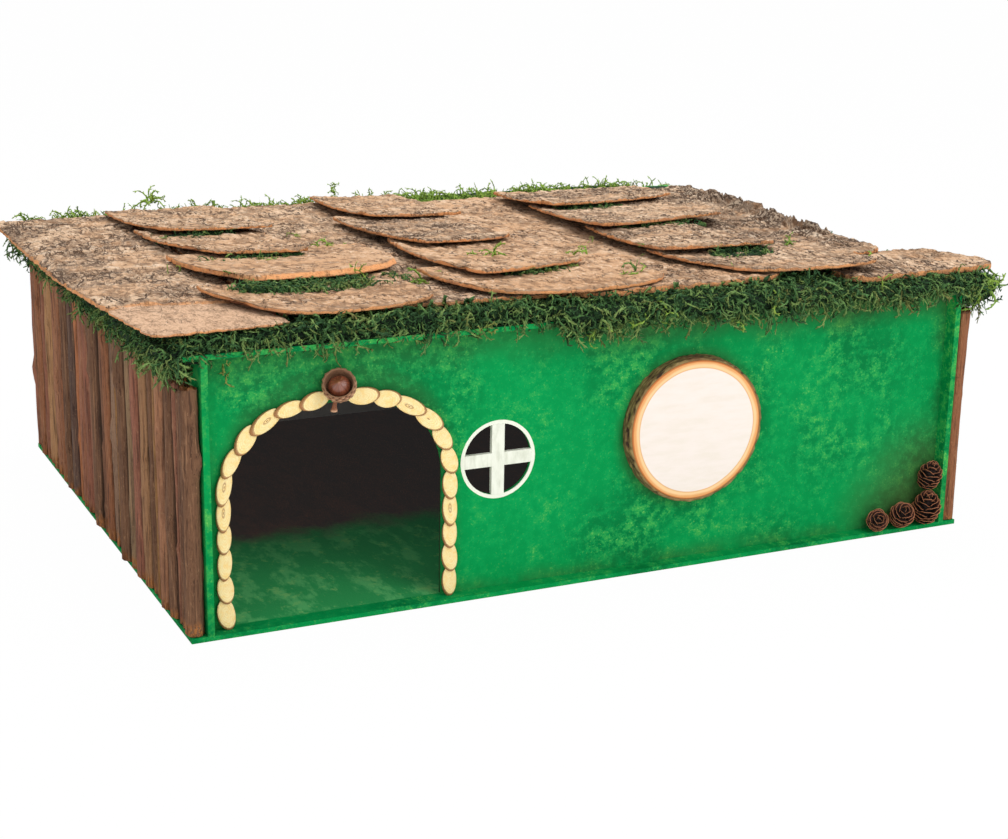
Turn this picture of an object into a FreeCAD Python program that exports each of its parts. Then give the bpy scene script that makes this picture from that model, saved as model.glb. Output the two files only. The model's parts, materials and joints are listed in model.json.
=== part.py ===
"""Hedgehog house: a low timber box with a bark and moss lift-off roof and a woodland trim.

Millimetres. The origin is the middle of the floor board's underside, X runs to the right
as seen from the front, the doorway faces -Y and Z is up.
"""
import FreeCAD
import Part
import math
import os

from FreeCAD import Rotation, Vector

# Box, outside sizes
body_width = 530.0       # over the outer faces of the two side boards
body_depth = 420.0       # front edge to rear edge of the boards
wall_top = 170.0         # underside of the floor to the top of the side boards
floor_thick = 3.0
lid_thick = 3.0
side_thick = 4.0
panel_thick = 4.0
board_overhang = 10.0    # floor and lid stand out past each side board
panel_recess = 10.0      # front and back panels sit back from the board edges

# Doorway, an arch drawn with three arcs
door_width = 135.5
door_height = 131.5      # above the floor board
door_corner = 48.0       # radius of the two shoulder arcs
door_crown = 3.8         # rise of the flat top arc above the shoulders
door_side_gap = 13.05    # inner face of the left side board to the doorway

# Round window with a cross of two halved strips
window_radius = 23.0
window_side_gap = 14.55  # doorway to the window's edge
window_height = 86.4
window_strip = 8.5
window_strip_thick = 3.0
strip_clearance = 0.1

# Bark-edged wood slice that carries the name
slice_radius = 46.8
slice_thick = 9.0
slice_side_gap = 66.8    # window's edge to the slice's edge
slice_height = 92.4
slice_bark = 2.2
slice_bark_setback = 0.8
slice_wobble = 0.012     # how far the slice is out of round
slice_sides = 28

# Door trim: thin oval wood slices that overlap like scales
trim_length = 20.5
trim_width = 10.4
trim_thick = 2.2
trim_pitch = 15.7        # about this far from one to the next, to end on the floor board
trim_clearance = 0.45
trim_start = 14.6        # acorn to the middle of the first slice, along the arch
trim_offset = 3.9        # door edge to the middle line of the trim
trim_sides = 14

# Acorn over the door
acorn_radius = 10.0
acorn_height = 11.0
acorn_wall = 1.5
acorn_stand = 8.2        # middle of the cup in front of the panel
acorn_rise = 11.7        # middle of the cup above the top of the doorway
acorn_sides = 14
nut_radius = 6.9
nut_height = 10.4
nut_clearance = 0.2
stalk_radius = 1.7
stalk_length = 12.5

# Larch cones in the corner: radius, length, middle from the right side board, and lean
cone_sizes = {
    "cone_1": (8.2, 18.0, 51.6, (-0.38, -0.80, 0.46)),
    "cone_2": (9.3, 21.0, 32.0, (-0.25, -0.72, 0.65)),
    "cone_3": (10.6, 24.0, 11.4, (-0.12, -0.36, 0.93)),
    "cone_4": (8.8, 20.5, 9.4, (0.02, -0.36, 0.93)),
}
cone_scales = 26         # scales on each cone
cone_scale_thick = 0.8
cone_lift = 38.0         # degrees that a scale stands up from flat
cone_clearance = 0.25
cone_sides = 8
golden_angle = 137.508   # degrees from one scale to the next

# Branches that clad the sides: width along the wall, from the front corner to the rear
branch_widths = (
    13.0, 8.0, 8.0, 14.0, 18.0, 10.0, 10.0, 16.0, 18.5, 14.5, 21.0, 9.5,
    11.0, 16.0, 11.0, 21.0, 11.0, 13.5, 13.5, 11.0, 16.0, 19.0, 16.0, 15.0,
    14.0, 12.0, 12.0, 17.0, 9.5, 9.0,
)
branch_depth = 8.0       # least depth off the wall, plus a share of the width
branch_depth_share = 0.3
branch_taper = 0.86      # top width over bottom width
branch_bow = 1.2         # how far the middle of a branch can stand out of line
branch_top = 156.5       # tallest branch
branch_spread = 5.0      # how much shorter the shortest one is
branch_clearance = 0.15
branch_sides = 8

# Lift-off roof
batten_size = 12.0
batten_clearance = 1.5
batten_inset = 30.0      # inner face of a side board to the end of a batten

# Bark: long sheets on the lid, a corner piece, and three columns of shingles on the joints
bark_thick = 3.2
bark_clearance = 0.35
bark_gap = 1.6           # between two long sheets
corner_inset = 41.0      # the corner piece starts this far right of the last joint
corner_out = 28.0        # and ends this far past the long sheets' right edge
corner_setback = 4.0     # its front edge from the line of the bark's front
corner_length = 72.0     # front edge to rear edge
corner_extra = 1.2       # how much thicker it is
right_sheet_inset = 30.0 # front of the last long sheet from the bark's right edge; it widens to the rear
right_sheet_flare = 46.0
sheet_setbacks = (6.0, 34.0, 9.0, 62.0)  # front edges of the long sheets from the line of the bark's front
bark_left_over = 36.0    # bark edge past the left side board
bark_right_over = 4.0
bark_front_over = 10.0   # bark edge past the front edge of the lid
bark_rear_inset = 7.0
bark_steps = (0.0, 0.0, 18.0, 18.0)    # how much shorter each long sheet is at the rear
joint_shares = (0.163, 0.482, 0.758)   # joints between the long sheets, across the roof
row_shares = (0.0, 0.18, 0.43, 0.68)   # front edges of the shingle rows, from the front
shingle_lap = 34.0       # length of a shingle under the next one up the roof
shingle_steps = (8.0, 3.0, 30.0)       # rear of the bark to the last shingle of each column

# Moss
moss_clearance = 0.3
moss_roll = 11.0         # height of the front roll above the lid
moss_roll_width = 24.0
moss_corner = 7.0        # height and width of the roll under the corner piece
moss_corner_width = 56.0
moss_rear = 2.5          # height of the rear roll under the bark
moss_rear_rise = 8.0     # and behind it
moss_side_rise = 5.0     # height of a side roll over the lid, where the bark leaves room
moss_side_edge = 2.0     # and of its outer edge
moss_out = 13.0          # how far the front and rear rolls stand out past the boards
moss_side_out = 19.0
moss_hang = 2.5          # how far the front and rear rolls hang below the lid's underside
moss_shoulder = 6.0      # how far the front roll drops from its top to its outer edge
moss_round = 3.0         # how much the rolls' edges are rounded off
moss_wave = 2.0
moss_least = 1.0         # a pad of moss where a shingle presses it flat
moss_sides = 12          # corners of a pad's outline

half_width = body_width / 2
half_depth = body_depth / 2
board_end = half_width + board_overhang
inner_x = half_width - side_thick
panel_face = -half_depth + panel_recess
lid_top = wall_top + lid_thick
door_x = -inner_x + door_side_gap + door_width / 2
door_top = floor_thick + door_height
window_x = door_x + door_width / 2 + window_side_gap + window_radius
slice_x = window_x + window_radius + slice_side_gap + slice_radius
bark_left = -half_width - bark_left_over
bark_right = half_width + bark_right_over
bark_front = -half_depth - bark_front_over
bark_rear = half_depth - bark_rear_inset
bark_width = bark_right - bark_left
bark_depth = bark_rear - bark_front


def block(x0, x1, y0, y1, z0, z1):
    """A board between two corners."""
    return Part.makeBox(x1 - x0, y1 - y0, z1 - z0, Vector(x0, y0, z0))


def flat(points):
    """A flat face inside an outline of points."""
    return Part.Face(Part.makePolygon([*points, points[0]]))


def skin(rings):
    """A closed solid over rings of points, with flat faces from each ring to the next."""
    faces = [flat(rings[0]), flat(rings[-1])]
    for low, high in zip(rings, rings[1:]):
        for index in range(len(low)):
            after = (index + 1) % len(low)
            a, b, c, d = low[index], low[after], high[after], high[index]
            normal = (c - a).cross(d - b)
            if abs((b - a).dot(normal)) < 1e-6 * normal.Length:
                faces.append(flat([a, b, c, d]))
            else:
                faces += [flat([a, b, c]), flat([a, c, d])]
    shell = Part.Shell(faces)
    shell.sewShape()
    solid = Part.Solid(shell)
    return solid if solid.Volume > 0 else solid.reversed()


def ring(sides, half_x, half_y, centre=Vector(0, 0, 0)):
    """A level oval outline with flat sides."""
    points = []
    for index in range(sides):
        turn = 2 * math.pi * (index + 0.5) / sides
        points.append(centre + Vector(half_x * math.cos(turn), half_y * math.sin(turn), 0))
    return points


def between(places, values, at):
    """The value at a place on the line through points, carried on straight past its ends."""
    index = 1
    while index < len(places) - 1 and at > places[index]:
        index += 1
    share = (at - places[index - 1]) / (places[index] - places[index - 1])
    return values[index - 1] + (values[index] - values[index - 1]) * share


def aim(shape, position, direction):
    """Turns a shape that stands on +Z to a direction, then moves it to its place."""
    shape.Placement = FreeCAD.Placement(position, Rotation(Vector(0, 0, 1), Vector(*direction)))
    return shape


def spread(index):
    """An even but unordered spread of numbers from 0 to 1."""
    return (index * 0.618034 + 0.31) % 1.0


# Doorway arch. Heights are from the spring line, distances from the door's middle line.
arch_half = door_width / 2 - door_corner
arch_drop = door_corner + door_crown
arch_spring = door_top - arch_drop
arch_radius = (arch_half ** 2 + arch_drop ** 2 - door_corner ** 2) / (2 * door_crown)
arch_angle = math.atan2(arch_half, arch_radius - arch_drop)


def arch_point(distance, offset):
    """Where a line at this offset outside the door is, going down from the top of the arch.

    Gives the distance from the door's middle, the height and the turn from level.
    """
    top = arch_radius + offset
    corner = door_corner + offset
    top_length = top * arch_angle
    corner_length = corner * (math.pi / 2 - arch_angle)
    if distance < top_length:
        turn = distance / top
        return top * math.sin(turn), arch_spring + arch_drop - arch_radius + top * math.cos(turn), turn
    if distance < top_length + corner_length:
        turn = arch_angle + (distance - top_length) / corner
        return arch_half + corner * math.sin(turn), arch_spring + corner * math.cos(turn), turn
    down = distance - top_length - corner_length
    return arch_half + corner, arch_spring - down, math.pi / 2


def arch_length(offset):
    """From the top of the arch to the floor board."""
    curved = (arch_radius + offset) * arch_angle + (door_corner + offset) * (math.pi / 2 - arch_angle)
    return curved + arch_spring - floor_thick


def arch_face(offset, y):
    """The doorway as a face that stands in the plane at y."""
    def at(side, distance):
        x, z, _ = arch_point(distance, offset)
        return Vector(door_x + side * x, y, z)

    shoulder = (arch_radius + offset) * arch_angle
    leg = shoulder + (door_corner + offset) * (math.pi / 2 - arch_angle)
    middle = (shoulder + leg) / 2
    edges = [
        Part.Arc(at(-1, shoulder), at(1, 0), at(1, shoulder)).toShape(),
        Part.Arc(at(1, shoulder), at(1, middle), at(1, leg)).toShape(),
        Part.makePolygon([at(1, leg), at(1, arch_length(offset)), at(-1, arch_length(offset)), at(-1, leg)]),
        Part.Arc(at(-1, leg), at(-1, middle), at(-1, shoulder)).toShape(),
    ]
    return Part.Face(Part.Wire([edge for shape in edges for edge in shape.Edges]))


def floor_board():
    return block(-board_end, board_end, -half_depth, half_depth, 0, floor_thick)


def side_wall(side):
    """One side board; side is -1 for the left and 1 for the right."""
    x0, x1 = sorted((side * inner_x, side * half_width))
    return block(x0, x1, -half_depth, half_depth, floor_thick, wall_top)


def back_wall():
    face = half_depth - panel_recess
    return block(-inner_x, inner_x, face - panel_thick, face, floor_thick, wall_top)


def window_hole(radius):
    place = Vector(window_x, panel_face, window_height)
    return Part.makeCylinder(radius, panel_thick, place, Vector(0, 1, 0))


def front_panel():
    panel = block(-inner_x, inner_x, panel_face, panel_face + panel_thick, floor_thick, wall_top)
    doorway = arch_face(0, panel_face).extrude(Vector(0, panel_thick, 0))
    return panel.cut([doorway, window_hole(window_radius)])


def window_strips():
    """An upright and a crossbar, halved into each other and cut to the round hole."""
    x = window_x
    z = window_height
    half = window_strip / 2
    y0, y1 = panel_face, panel_face + window_strip_thick
    mid = (y0 + y1) / 2
    reach = window_radius
    hole = window_hole(window_radius - strip_clearance)
    seat = half + strip_clearance / 2
    upright = block(x - half, x + half, y0, y1, z - reach, z + reach)
    upright = upright.cut(block(x - half, x + half, mid, y1, z - seat, z + seat)).common(hole)
    crossbar = block(x - reach, x + reach, y0, y1, z - half, z + half)
    crossbar = crossbar.cut(block(x - seat, x + seat, y0, mid, z - half, z + half)).common(hole)
    return upright, crossbar


def slice_outline(radius, y):
    """An outline a little out of round, like a sawn branch."""
    points = []
    for index in range(slice_sides):
        turn = 2 * math.pi * index / slice_sides
        swell = 1 + slice_wobble * (math.cos(2 * turn + 0.6) + 0.7 * math.cos(3 * turn - 1.1))
        points.append(Vector(
            slice_x + radius * swell * math.cos(turn),
            y,
            slice_height + radius * swell * math.sin(turn),
        ))
    return points


def name_slice():
    return flat(slice_outline(slice_radius, panel_face)).extrude(Vector(0, -slice_thick, 0))


def name_slice_bark():
    """The bark that is left round the slice; it tapers a little to the front."""
    outer = slice_radius + slice_bark
    depth = slice_thick - slice_bark_setback
    front = slice_outline(outer - slice_bark_setback, panel_face - depth)
    bore = flat(slice_outline(slice_radius + strip_clearance, panel_face))
    return skin([slice_outline(outer, panel_face), front]).cut(bore.extrude(Vector(0, -slice_thick, 0)))


trim_room = arch_length(trim_offset) - trim_start - trim_length / 2
trim_count = max(2, round(trim_room / trim_pitch) + 1)
trim_step = trim_room / (trim_count - 1)
# Each slice leans so that its lower end lies on the top of the next one.
trim_lean = math.degrees(math.asin((trim_thick + trim_clearance) / trim_step))


def trim_slice(side, distance):
    """One oval slice of the door trim, at this distance down the arch from the acorn."""
    plate = flat(ring(trim_sides, trim_length / 2, trim_width / 2)).extrude(Vector(0, 0, trim_thick))
    plate.rotate(Vector(0, 0, 0), Vector(0, 1, 0), -trim_lean)
    # Now X runs down the arch, and Z away from the panel until the next turn.
    plate.rotate(Vector(0, 0, 0), Vector(1, 0, 0), 90)
    x, z, turn = arch_point(distance, trim_offset)
    if side < 0:
        plate = plate.mirror(Vector(0, 0, 0), Vector(1, 0, 0))
    plate.rotate(Vector(0, 0, 0), Vector(0, 1, 0), side * math.degrees(turn))
    lift = trim_length / 2 * math.sin(math.radians(trim_lean)) + strip_clearance
    plate.translate(Vector(door_x + side * x, panel_face - lift, z))
    return plate


def door_trim(side):
    places = [trim_start + index * trim_step for index in range(trim_count)]
    return Part.makeCompound([trim_slice(side, distance) for distance in places])


acorn_tilt = (-0.33, -0.72, 0.61)
acorn_seat = Vector(door_x - 1.5, panel_face - acorn_stand, door_top + acorn_rise)


def acorn_base():
    """Where the middle of the cup's closed end is."""
    along = Vector(*acorn_tilt).normalize()
    return acorn_seat - along * (acorn_height * 0.55)


def turned(profile, sides):
    """A solid with flat sides, from the radius and height of its rings, bottom first."""
    return skin([ring(sides, radius, radius, Vector(0, 0, height)) for radius, height in profile])


def acorn_cup():
    """The cup with its bent stalk."""
    radius, height, wall = acorn_radius, acorn_height, acorn_wall
    cup = turned([
        (0.3 * radius, 0), (0.62 * radius, 0.09 * height), (0.92 * radius, 0.34 * height),
        (radius, 0.68 * height), (0.95 * radius, height),
    ], acorn_sides)
    hollow = turned([
        (0.5 * radius, wall), (0.8 * radius - 0.5 * wall, 0.2 * height + 0.6 * wall),
        (radius - wall, 0.68 * height), (0.95 * radius - 0.6 * wall, height),
    ], acorn_sides)
    cup = aim(cup.cut(hollow), acorn_base(), acorn_tilt)
    start = acorn_base() - Vector(0, 0, 0.35 * wall)
    bend = start + Vector(-0.28 * stalk_length, 0.02 * stalk_length, -0.42 * stalk_length)
    end = start + Vector(-0.34 * stalk_length, -0.08 * stalk_length, -0.94 * stalk_length)
    rings = [
        ring(cone_sides, stalk_radius * share, stalk_radius * share, place)
        for place, share in ((start, 1.1), (bend, 0.85), (end, 1.12))
    ]
    return cup.fuse(skin(rings))


def acorn_nut():
    """The nut lies loose in the cup, point outwards."""
    radius, height = nut_radius, nut_height
    base = acorn_wall + nut_clearance
    nut = turned([
        (0.5 * radius, base), (0.93 * radius, base + 0.28 * height), (radius, base + 0.5 * height),
        (0.72 * radius, base + 0.8 * height), (0.22 * radius, base + 0.95 * height),
        (0.05 * radius, base + 1.05 * height),
    ], acorn_sides)
    return aim(nut, acorn_base(), acorn_tilt)


def cone_outline(share):
    """Radius of a cone over its largest, from its base at 0 to its tip at 1."""
    return 0.30 + 0.72 * math.sin(math.pi * (0.18 + 0.74 * share)) ** 0.8


def cone(name, under):
    """A larch cone: a core with its scales set in the golden-angle spiral.

    It leans against the panel, on what is under it at this height.
    """
    radius, length, from_right, lean = cone_sizes[name]
    rim = radius - cone_scale_thick
    core = [(0.52 * rim * cone_outline(share), length * (share - 0.5)) for share in (0, 0.35, 0.7, 0.95)]
    plates = []
    for index in range(cone_scales):
        share = 0.03 + 0.9 * index / (cone_scales - 1)
        reach = rim * cone_outline(share)
        half = 0.5 * reach
        side = [(0.2 * reach, 0.5 * half), (0.76 * reach, half), (reach, 0.4 * half)]
        plate = flat([Vector(x, -y, 0) for x, y in side] + [Vector(x, y, 0) for x, y in reversed(side)])
        plate = plate.extrude(Vector(0, 0, cone_scale_thick))
        plate.rotate(Vector(0.3 * reach, 0, 0), Vector(0, 1, 0), -cone_lift * (0.55 + 0.75 * share))
        plate.rotate(Vector(0, 0, 0), Vector(0, 0, 1), golden_angle * index)
        plate.translate(Vector(0, 0, length * (0.88 * share - 0.5)))
        plates.append(plate)
    solid = aim(turned(core, cone_sides).fuse(plates), Vector(inner_x - from_right, 0, 0), lean)
    box = solid.BoundBox
    solid.translate(Vector(0, panel_face - cone_clearance - box.YMax, under + cone_clearance - box.ZMin))
    return solid


def branch_row(side):
    """Upright branches side by side on the overhang of the floor board."""
    widths = branch_widths if side < 0 else branch_widths[5:] + branch_widths[:5]
    room = (body_depth - sum(widths)) / len(widths)
    sticks = []
    y = -half_depth
    for index, width in enumerate(widths):
        y += room / 2 + width / 2
        sticks.append(branch(side, y, width, spread(index)))
        y += room / 2 + width / 2
    return Part.makeCompound(sticks)


def branch_reach(width):
    return branch_depth + branch_depth_share * width


def branch(side, y, width, chance):
    """One branch, oval in section, that tapers and bows a little."""
    top = branch_top - branch_spread * chance
    depth = branch_reach(width)
    rings = []
    for share, bow in ((0, 0), (0.5, branch_bow * (chance - 0.5)), (1, 0)):
        size = 1 - (1 - branch_taper) * share
        half_x = depth / 2 * size
        x = side * (half_width + branch_clearance + half_x)
        z = floor_thick + branch_clearance + (top - floor_thick) * share
        rings.append(ring(branch_sides, half_x, width / 2 * size, Vector(x, y + bow, z)))
    return skin(rings)


def lid():
    return block(-board_end, board_end, -half_depth, half_depth, wall_top, lid_top)


def batten(side):
    """A strip under the lid, just inside the front or the back panel, that stops it sliding."""
    near = half_depth - panel_recess - panel_thick - batten_clearance
    y0, y1 = sorted((side * near, side * (near - batten_size)))
    end = inner_x - batten_inset
    return block(-end, end, y0, y1, wall_top - batten_size, wall_top)


# Distance between the points where a sheet of bark feels for what is under it.
sample_step = 7.0
# The roof is laid from the lid up. What lies on it so far is kept here, lowest first.
laid = []


def joint(index):
    return bark_left + bark_width * joint_shares[index]


def row(index):
    return bark_front + bark_depth * row_shares[index]


def roll_stations():
    """Places along the front moss roll, close together where it widens at the corner piece."""
    start = joint(2) + 4
    end = joint(2) + corner_inset - 2
    row_end = [end + (board_end - end) * index / 3 for index in range(4)]
    return [-board_end + (start + board_end) * index / 8 for index in range(9)] + row_end


def roll_top(x):
    """Top of the front moss roll, which is pressed down under the corner piece."""
    stations = [-board_end, *roll_stations()[8:10], board_end]
    return lid_top + between(stations, [moss_roll, moss_roll, moss_corner, moss_corner], x)


def roll_rear(x):
    """Rear edge of the front moss roll."""
    stations = [-board_end, *roll_stations()[8:10], board_end]
    widths = [moss_roll_width, moss_roll_width, moss_corner_width, moss_corner_width]
    return -half_depth + between(stations, widths, x)


def support(x, y):
    """Height of the highest thing under a point of the roof, or None past the roof's edge."""
    heights = [piece.top(x, y) for piece in laid if piece.covers(x, y)]
    if abs(x) < board_end and abs(y) < half_depth:
        heights.append(lid_top)
    if abs(x) < board_end and -half_depth - moss_out / 2 < y < roll_rear(x):
        heights.append(roll_top(x))
    if abs(x) < board_end and half_depth - moss_roll_width < y <= bark_rear:
        heights.append(lid_top + moss_rear)
    return max(heights) if heights else None


class Bark:
    """A curled sheet of bark that narrows to the rear, with rounded front corners.

    It is lowered until its rear rests, then its front, on what lies under it.
    """

    def __init__(self, left, right, front, back, thick, corners, curl=(0, 0), lift=0, turn=0,
                 flare=(0, 0), droop=0):
        self.left, self.right, self.front, self.back = left, right, front, back
        self.thick, self.corners, self.curl = thick, corners, curl
        self.lift, self.turn, self.flare, self.droop = lift, turn, flare, droop
        # The last straight run of the sheet starts behind its front corners.
        length = back - front
        bend = length - max(corners[0][1], corners[1][1]) - 4 - abs(turn) * (right - left)
        self.runs = [0, 0.5 * bend, bend, length]
        self.lifts = [0, 0, 0.3 * lift, lift]
        self.base = 0
        self.slope = 0
        self.rest()
        laid.append(self)

    def edges(self, y):
        """Left and right edge of the sheet at this depth of the roof."""
        share = (y - self.front) / (self.back - self.front)
        return self.left + self.flare[0] * share, self.right - self.flare[1] * share

    def front_edge(self, share):
        """The front outline at a share of the width, an ellipse quarter at each corner."""
        width = self.right - self.left
        y = self.front + self.turn * share * width
        for inset, (reach, depth) in zip((share * width, (1 - share) * width), self.corners):
            if inset < reach:
                y += depth * (1 - math.sqrt(1 - (1 - max(inset, 0) / reach) ** 2))
        return y

    def columns(self):
        """Shares of the width where the sheet bends, closer together round its corners."""
        width = self.right - self.left
        left, right = self.corners[0][0] / width, self.corners[1][0] / width
        turns = (0, 0.1, 0.32, 0.64)
        inner = 1 - left - right
        steps = max(1, round(inner * width / 45))
        shares = [left * turn for turn in turns]
        shares += [left + inner * step / steps for step in range(steps + 1)] if inner > 0.02 else [left]
        return shares + [1 - right * turn for turn in reversed(turns)]

    def form(self, share, y):
        """Height of the curled sheet over a flat one."""
        height = between(self.runs, self.lifts, self.back - y)
        curls = []
        columns = self.columns()
        for place in columns:
            edges = (max(0, 1 - place / 0.35), max(0, 1 - (1 - place) / 0.35))
            curls.append(self.curl[0] * edges[0] ** 2 + self.curl[1] * edges[1] ** 2)
        along = (self.back - y) / (self.back - self.front)
        sag = max(0, 1 - share / 0.45) ** 2 * 4 * max(0, along * (1 - along))
        return height + between(columns, curls, share) - self.droop * sag

    def share(self, x, y):
        left, right = self.edges(y)
        return (x - left) / (right - left)

    def covers(self, x, y):
        share = self.share(x, y)
        return 0 <= share <= 1 and self.front_edge(share) <= y <= self.back

    def bottom(self, x, y):
        return self.base + self.slope * (self.back - y) + self.form(self.share(x, y), y)

    def top(self, x, y):
        return self.bottom(x, y) + self.thick

    def column(self, share):
        """Points along one bend line, from the back to the front."""
        points = []
        for y in [self.back - run for run in self.runs[:-1]] + [self.front_edge(share)]:
            left, right = self.edges(y)
            points.append((left + (right - left) * share, y))
        return points

    def samples(self):
        """Points all over the sheet and along its edges."""
        points = []
        across = round((self.right - self.left) / sample_step)
        along = round((self.back - self.front) / sample_step)
        for step in range(across + 1):
            front = self.front_edge(step / across)
            for run in range(along + 1):
                y = self.back + (front - self.back) * run / along
                left, right = self.edges(y)
                points.append((left + (right - left) * step / across, y))
        return points

    def rest(self):
        """Finds the height and slope at which the sheet lies on the roof so far."""
        places = self.samples()
        for piece in laid:
            places += [place for place in piece.samples() if self.covers(*place)]
        needs = []
        for x, y in places:
            height = support(x, y)
            if height is not None:
                needs.append((self.back - y, height + bark_clearance - self.bottom(x, y)))
        length = self.back - self.front
        rear = [need for distance, need in needs if distance < 0.3 * length]
        self.base = max(rear)
        self.slope = max(
            (need - self.base) / distance for distance, need in needs if distance >= 0.3 * length
        )
        self.base += max(need - self.base - self.slope * distance for distance, need in needs)

    def solid(self):
        rings = []
        for share in self.columns():
            column = self.column(share)
            under = [Vector(x, y, self.bottom(x, y)) for x, y in column]
            over = [Vector(x, y, self.top(x, y)) for x, y in reversed(column)]
            rings.append(under + over)
        return skin(rings)


class MossPad:
    """A pad of moss wedged under the front edge of a shingle.

    It lies on what is there before the shingle, and fills the wedge under the shingle.
    """

    def __init__(self, left, right, front, back):
        self.middle = ((left + right) / 2, (front + back) / 2)
        self.half = ((right - left) / 2, (back - front) / 2)
        behind, ahead = (self.ground(0, side) for side in (1, -1))
        self.tilt = (behind - ahead) / (2 * self.half[1])
        self.low = max(
            self.ground(u, v) - self.tilt * v * self.half[1]
            for u in (-1, -0.5, 0, 0.5, 1) for v in (-1, -0.5, 0, 0.5, 1) if u * u + v * v < 1.3
        ) + moss_clearance
        laid.append(self)

    def covers(self, x, y):
        u, v = (x - self.middle[0]) / self.half[0], (y - self.middle[1]) / self.half[1]
        return u * u + v * v <= 1

    def top(self, x, y):
        """Top of the pad where the shingle presses it flat."""
        return self.low + self.tilt * (y - self.middle[1]) + moss_least

    def bottom(self, x, y):
        return self.low + self.tilt * (y - self.middle[1])

    def samples(self):
        steps = [index / 4 - 1 for index in range(9)]
        return [(self.middle[0] + u * self.half[0], self.middle[1] + v * self.half[1])
                for u in steps for v in steps if u * u + v * v <= 1]

    def ground(self, u, v):
        return support(self.middle[0] + u * self.half[0], self.middle[1] + v * self.half[1])

    def outline(self, scale, height, rise):
        """An oval outline over the ground, that rises to the front."""
        points = []
        for index in range(moss_sides):
            turn = 2 * math.pi * index / moss_sides
            u, v = scale * math.cos(turn), scale * math.sin(turn)
            z = self.low + self.tilt * v * self.half[1] + height - rise * v
            points.append(Vector(self.middle[0] + u * self.half[0], self.middle[1] + v * self.half[1], z))
        return points

    def solid(self, shingle):
        """The pad under this shingle, as thick as the wedge lets it be."""
        top = 0.72
        room = []
        for u in (-top, 0, top):
            for v in (-top, -0.3, 0, 0.3, top):
                x, y = self.middle[0] + u * self.half[0], self.middle[1] + v * self.half[1]
                if shingle.covers(x, y):
                    low = self.low + self.tilt * v * self.half[1]
                    room.append((v, shingle.bottom(x, y) - moss_clearance - low))
        back = min(space for place, space in room if place >= top - 0.1)
        rise = min((space - back) / (top - place) for place, space in room if place < top)
        return skin([self.outline(1, 0, 0), self.outline(top, back + rise * top, rise)])


def long_sheets():
    """The corner piece, then four long sheets side by side from the front to the rear."""
    gap = bark_gap / 2
    fronts = [bark_front + setback for setback in sheet_setbacks]
    backs = [bark_rear - step for step in bark_steps]
    corner_front = bark_front + corner_setback
    corner_back = corner_front + corner_length
    corner = Bark(joint(2) + corner_inset, bark_right + corner_out, corner_front, corner_back,
                  bark_thick + corner_extra, corners=((8, 6), (26, 12)), turn=0.1)
    return {
        "bark_corner": corner,
        "bark_sheet_1": Bark(bark_left, joint(0) - gap, fronts[0], backs[0], bark_thick,
                             corners=((12, 5), (20, 4)), droop=6, lift=1.5, turn=0.06),
        "bark_sheet_2": Bark(joint(0) + gap, joint(1) - gap, fronts[1], backs[1], bark_thick,
                             corners=((40, 6), (6, 3)), turn=-0.075, lift=1.5),
        "bark_sheet_3": Bark(joint(1) + gap, joint(2) - gap, fronts[2], backs[2], bark_thick + 1,
                             corners=((30, 12), (24, 14)), turn=0.04),
        "bark_sheet_4": Bark(joint(2) + gap, bark_right - right_sheet_inset, fronts[3], backs[3], bark_thick,
                             corners=((10, 6), (20, 12)), flare=(0, -right_sheet_flare)),
    }


# The shingles row by row from the front, in each row from the left column to the right one.
# Each has its left and right edge from the joint, its front edge past the row, its thickness,
# front corners, curl of the edges, lift and turn of the front, and how far the edges draw in.
shingle_rows = (
    (
        (-30, 97, 15, 2.6, ((50, 42), (76, 22)), (2, 1), 2, 0, (0, 0)),
        (-67, 73, 9, 2.8, ((71, 37), (68, 25)), (1, 1), 1.5, 0, (0, 0)),
        (-56, 72, 12, 2.6, ((80, 26), (47, 12)), (1, 0), 0.5, 0, (0, 0)),
    ),
    (
        (-25, 118, 20, 3.6, ((18, 12), (75, 62)), (1.5, 0), 3, 0, (6, 0)),
        (-74, 41, -22, 2.6, ((12, 14), (20, 6)), (1.5, 0), 0.5, 0.22, (30, 0)),
        (-78, 28, 3, 2.8, ((10, 6), (14, 6)), (0.5, -1), 2, -0.05, (30, 0)),
    ),
    (
        (-22, 68, 11, 2.4, ((6, 8), (8, 2)), (1.5, 0), 0.5, -0.19, (9, 0)),
        (-62, 34, -15, 2.6, ((10, 6), (44, 15)), (1.5, 0), 1, 0, (16, 0)),
        (-74, 68, -13, 2.8, ((8, 22), (16, 6)), (1.5, -0.5), 2, 0.27, (32, 0)),
    ),
    (
        (-24, 75, -3, 2.4, ((6, 6), (10, 2)), (1.5, 0), 1, -0.13, (12, 0)),
        (-49, 44, 6, 2.6, ((8, 3), (10, 2)), (3, 0), 1.5, -0.12, (20, 0)),
        (-64, 87, -18, 2.6, ((12, 18), (60, 32)), (2, 0), 1.5, 0.2, (26, -4)),
    ),
)
# Moss wedged under a shingle: left and right end from its joint, how far it shows in front of
# the shingle's front edge there, and how far it reaches under.
moss_wedges = {
    "left_3": (-14, 104, 26, 18),
    "middle_3": (-28, 50, 10, 8),
    "right_3": (-30, 24, 16, 10),
    "left_2": (-6, 66, 12, 8),
    "right_2": (-34, 40, 12, 10),
    "left_1": (-12, 50, 8, 7),
    "right_1": (-40, 30, 10, 8),
}


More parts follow.
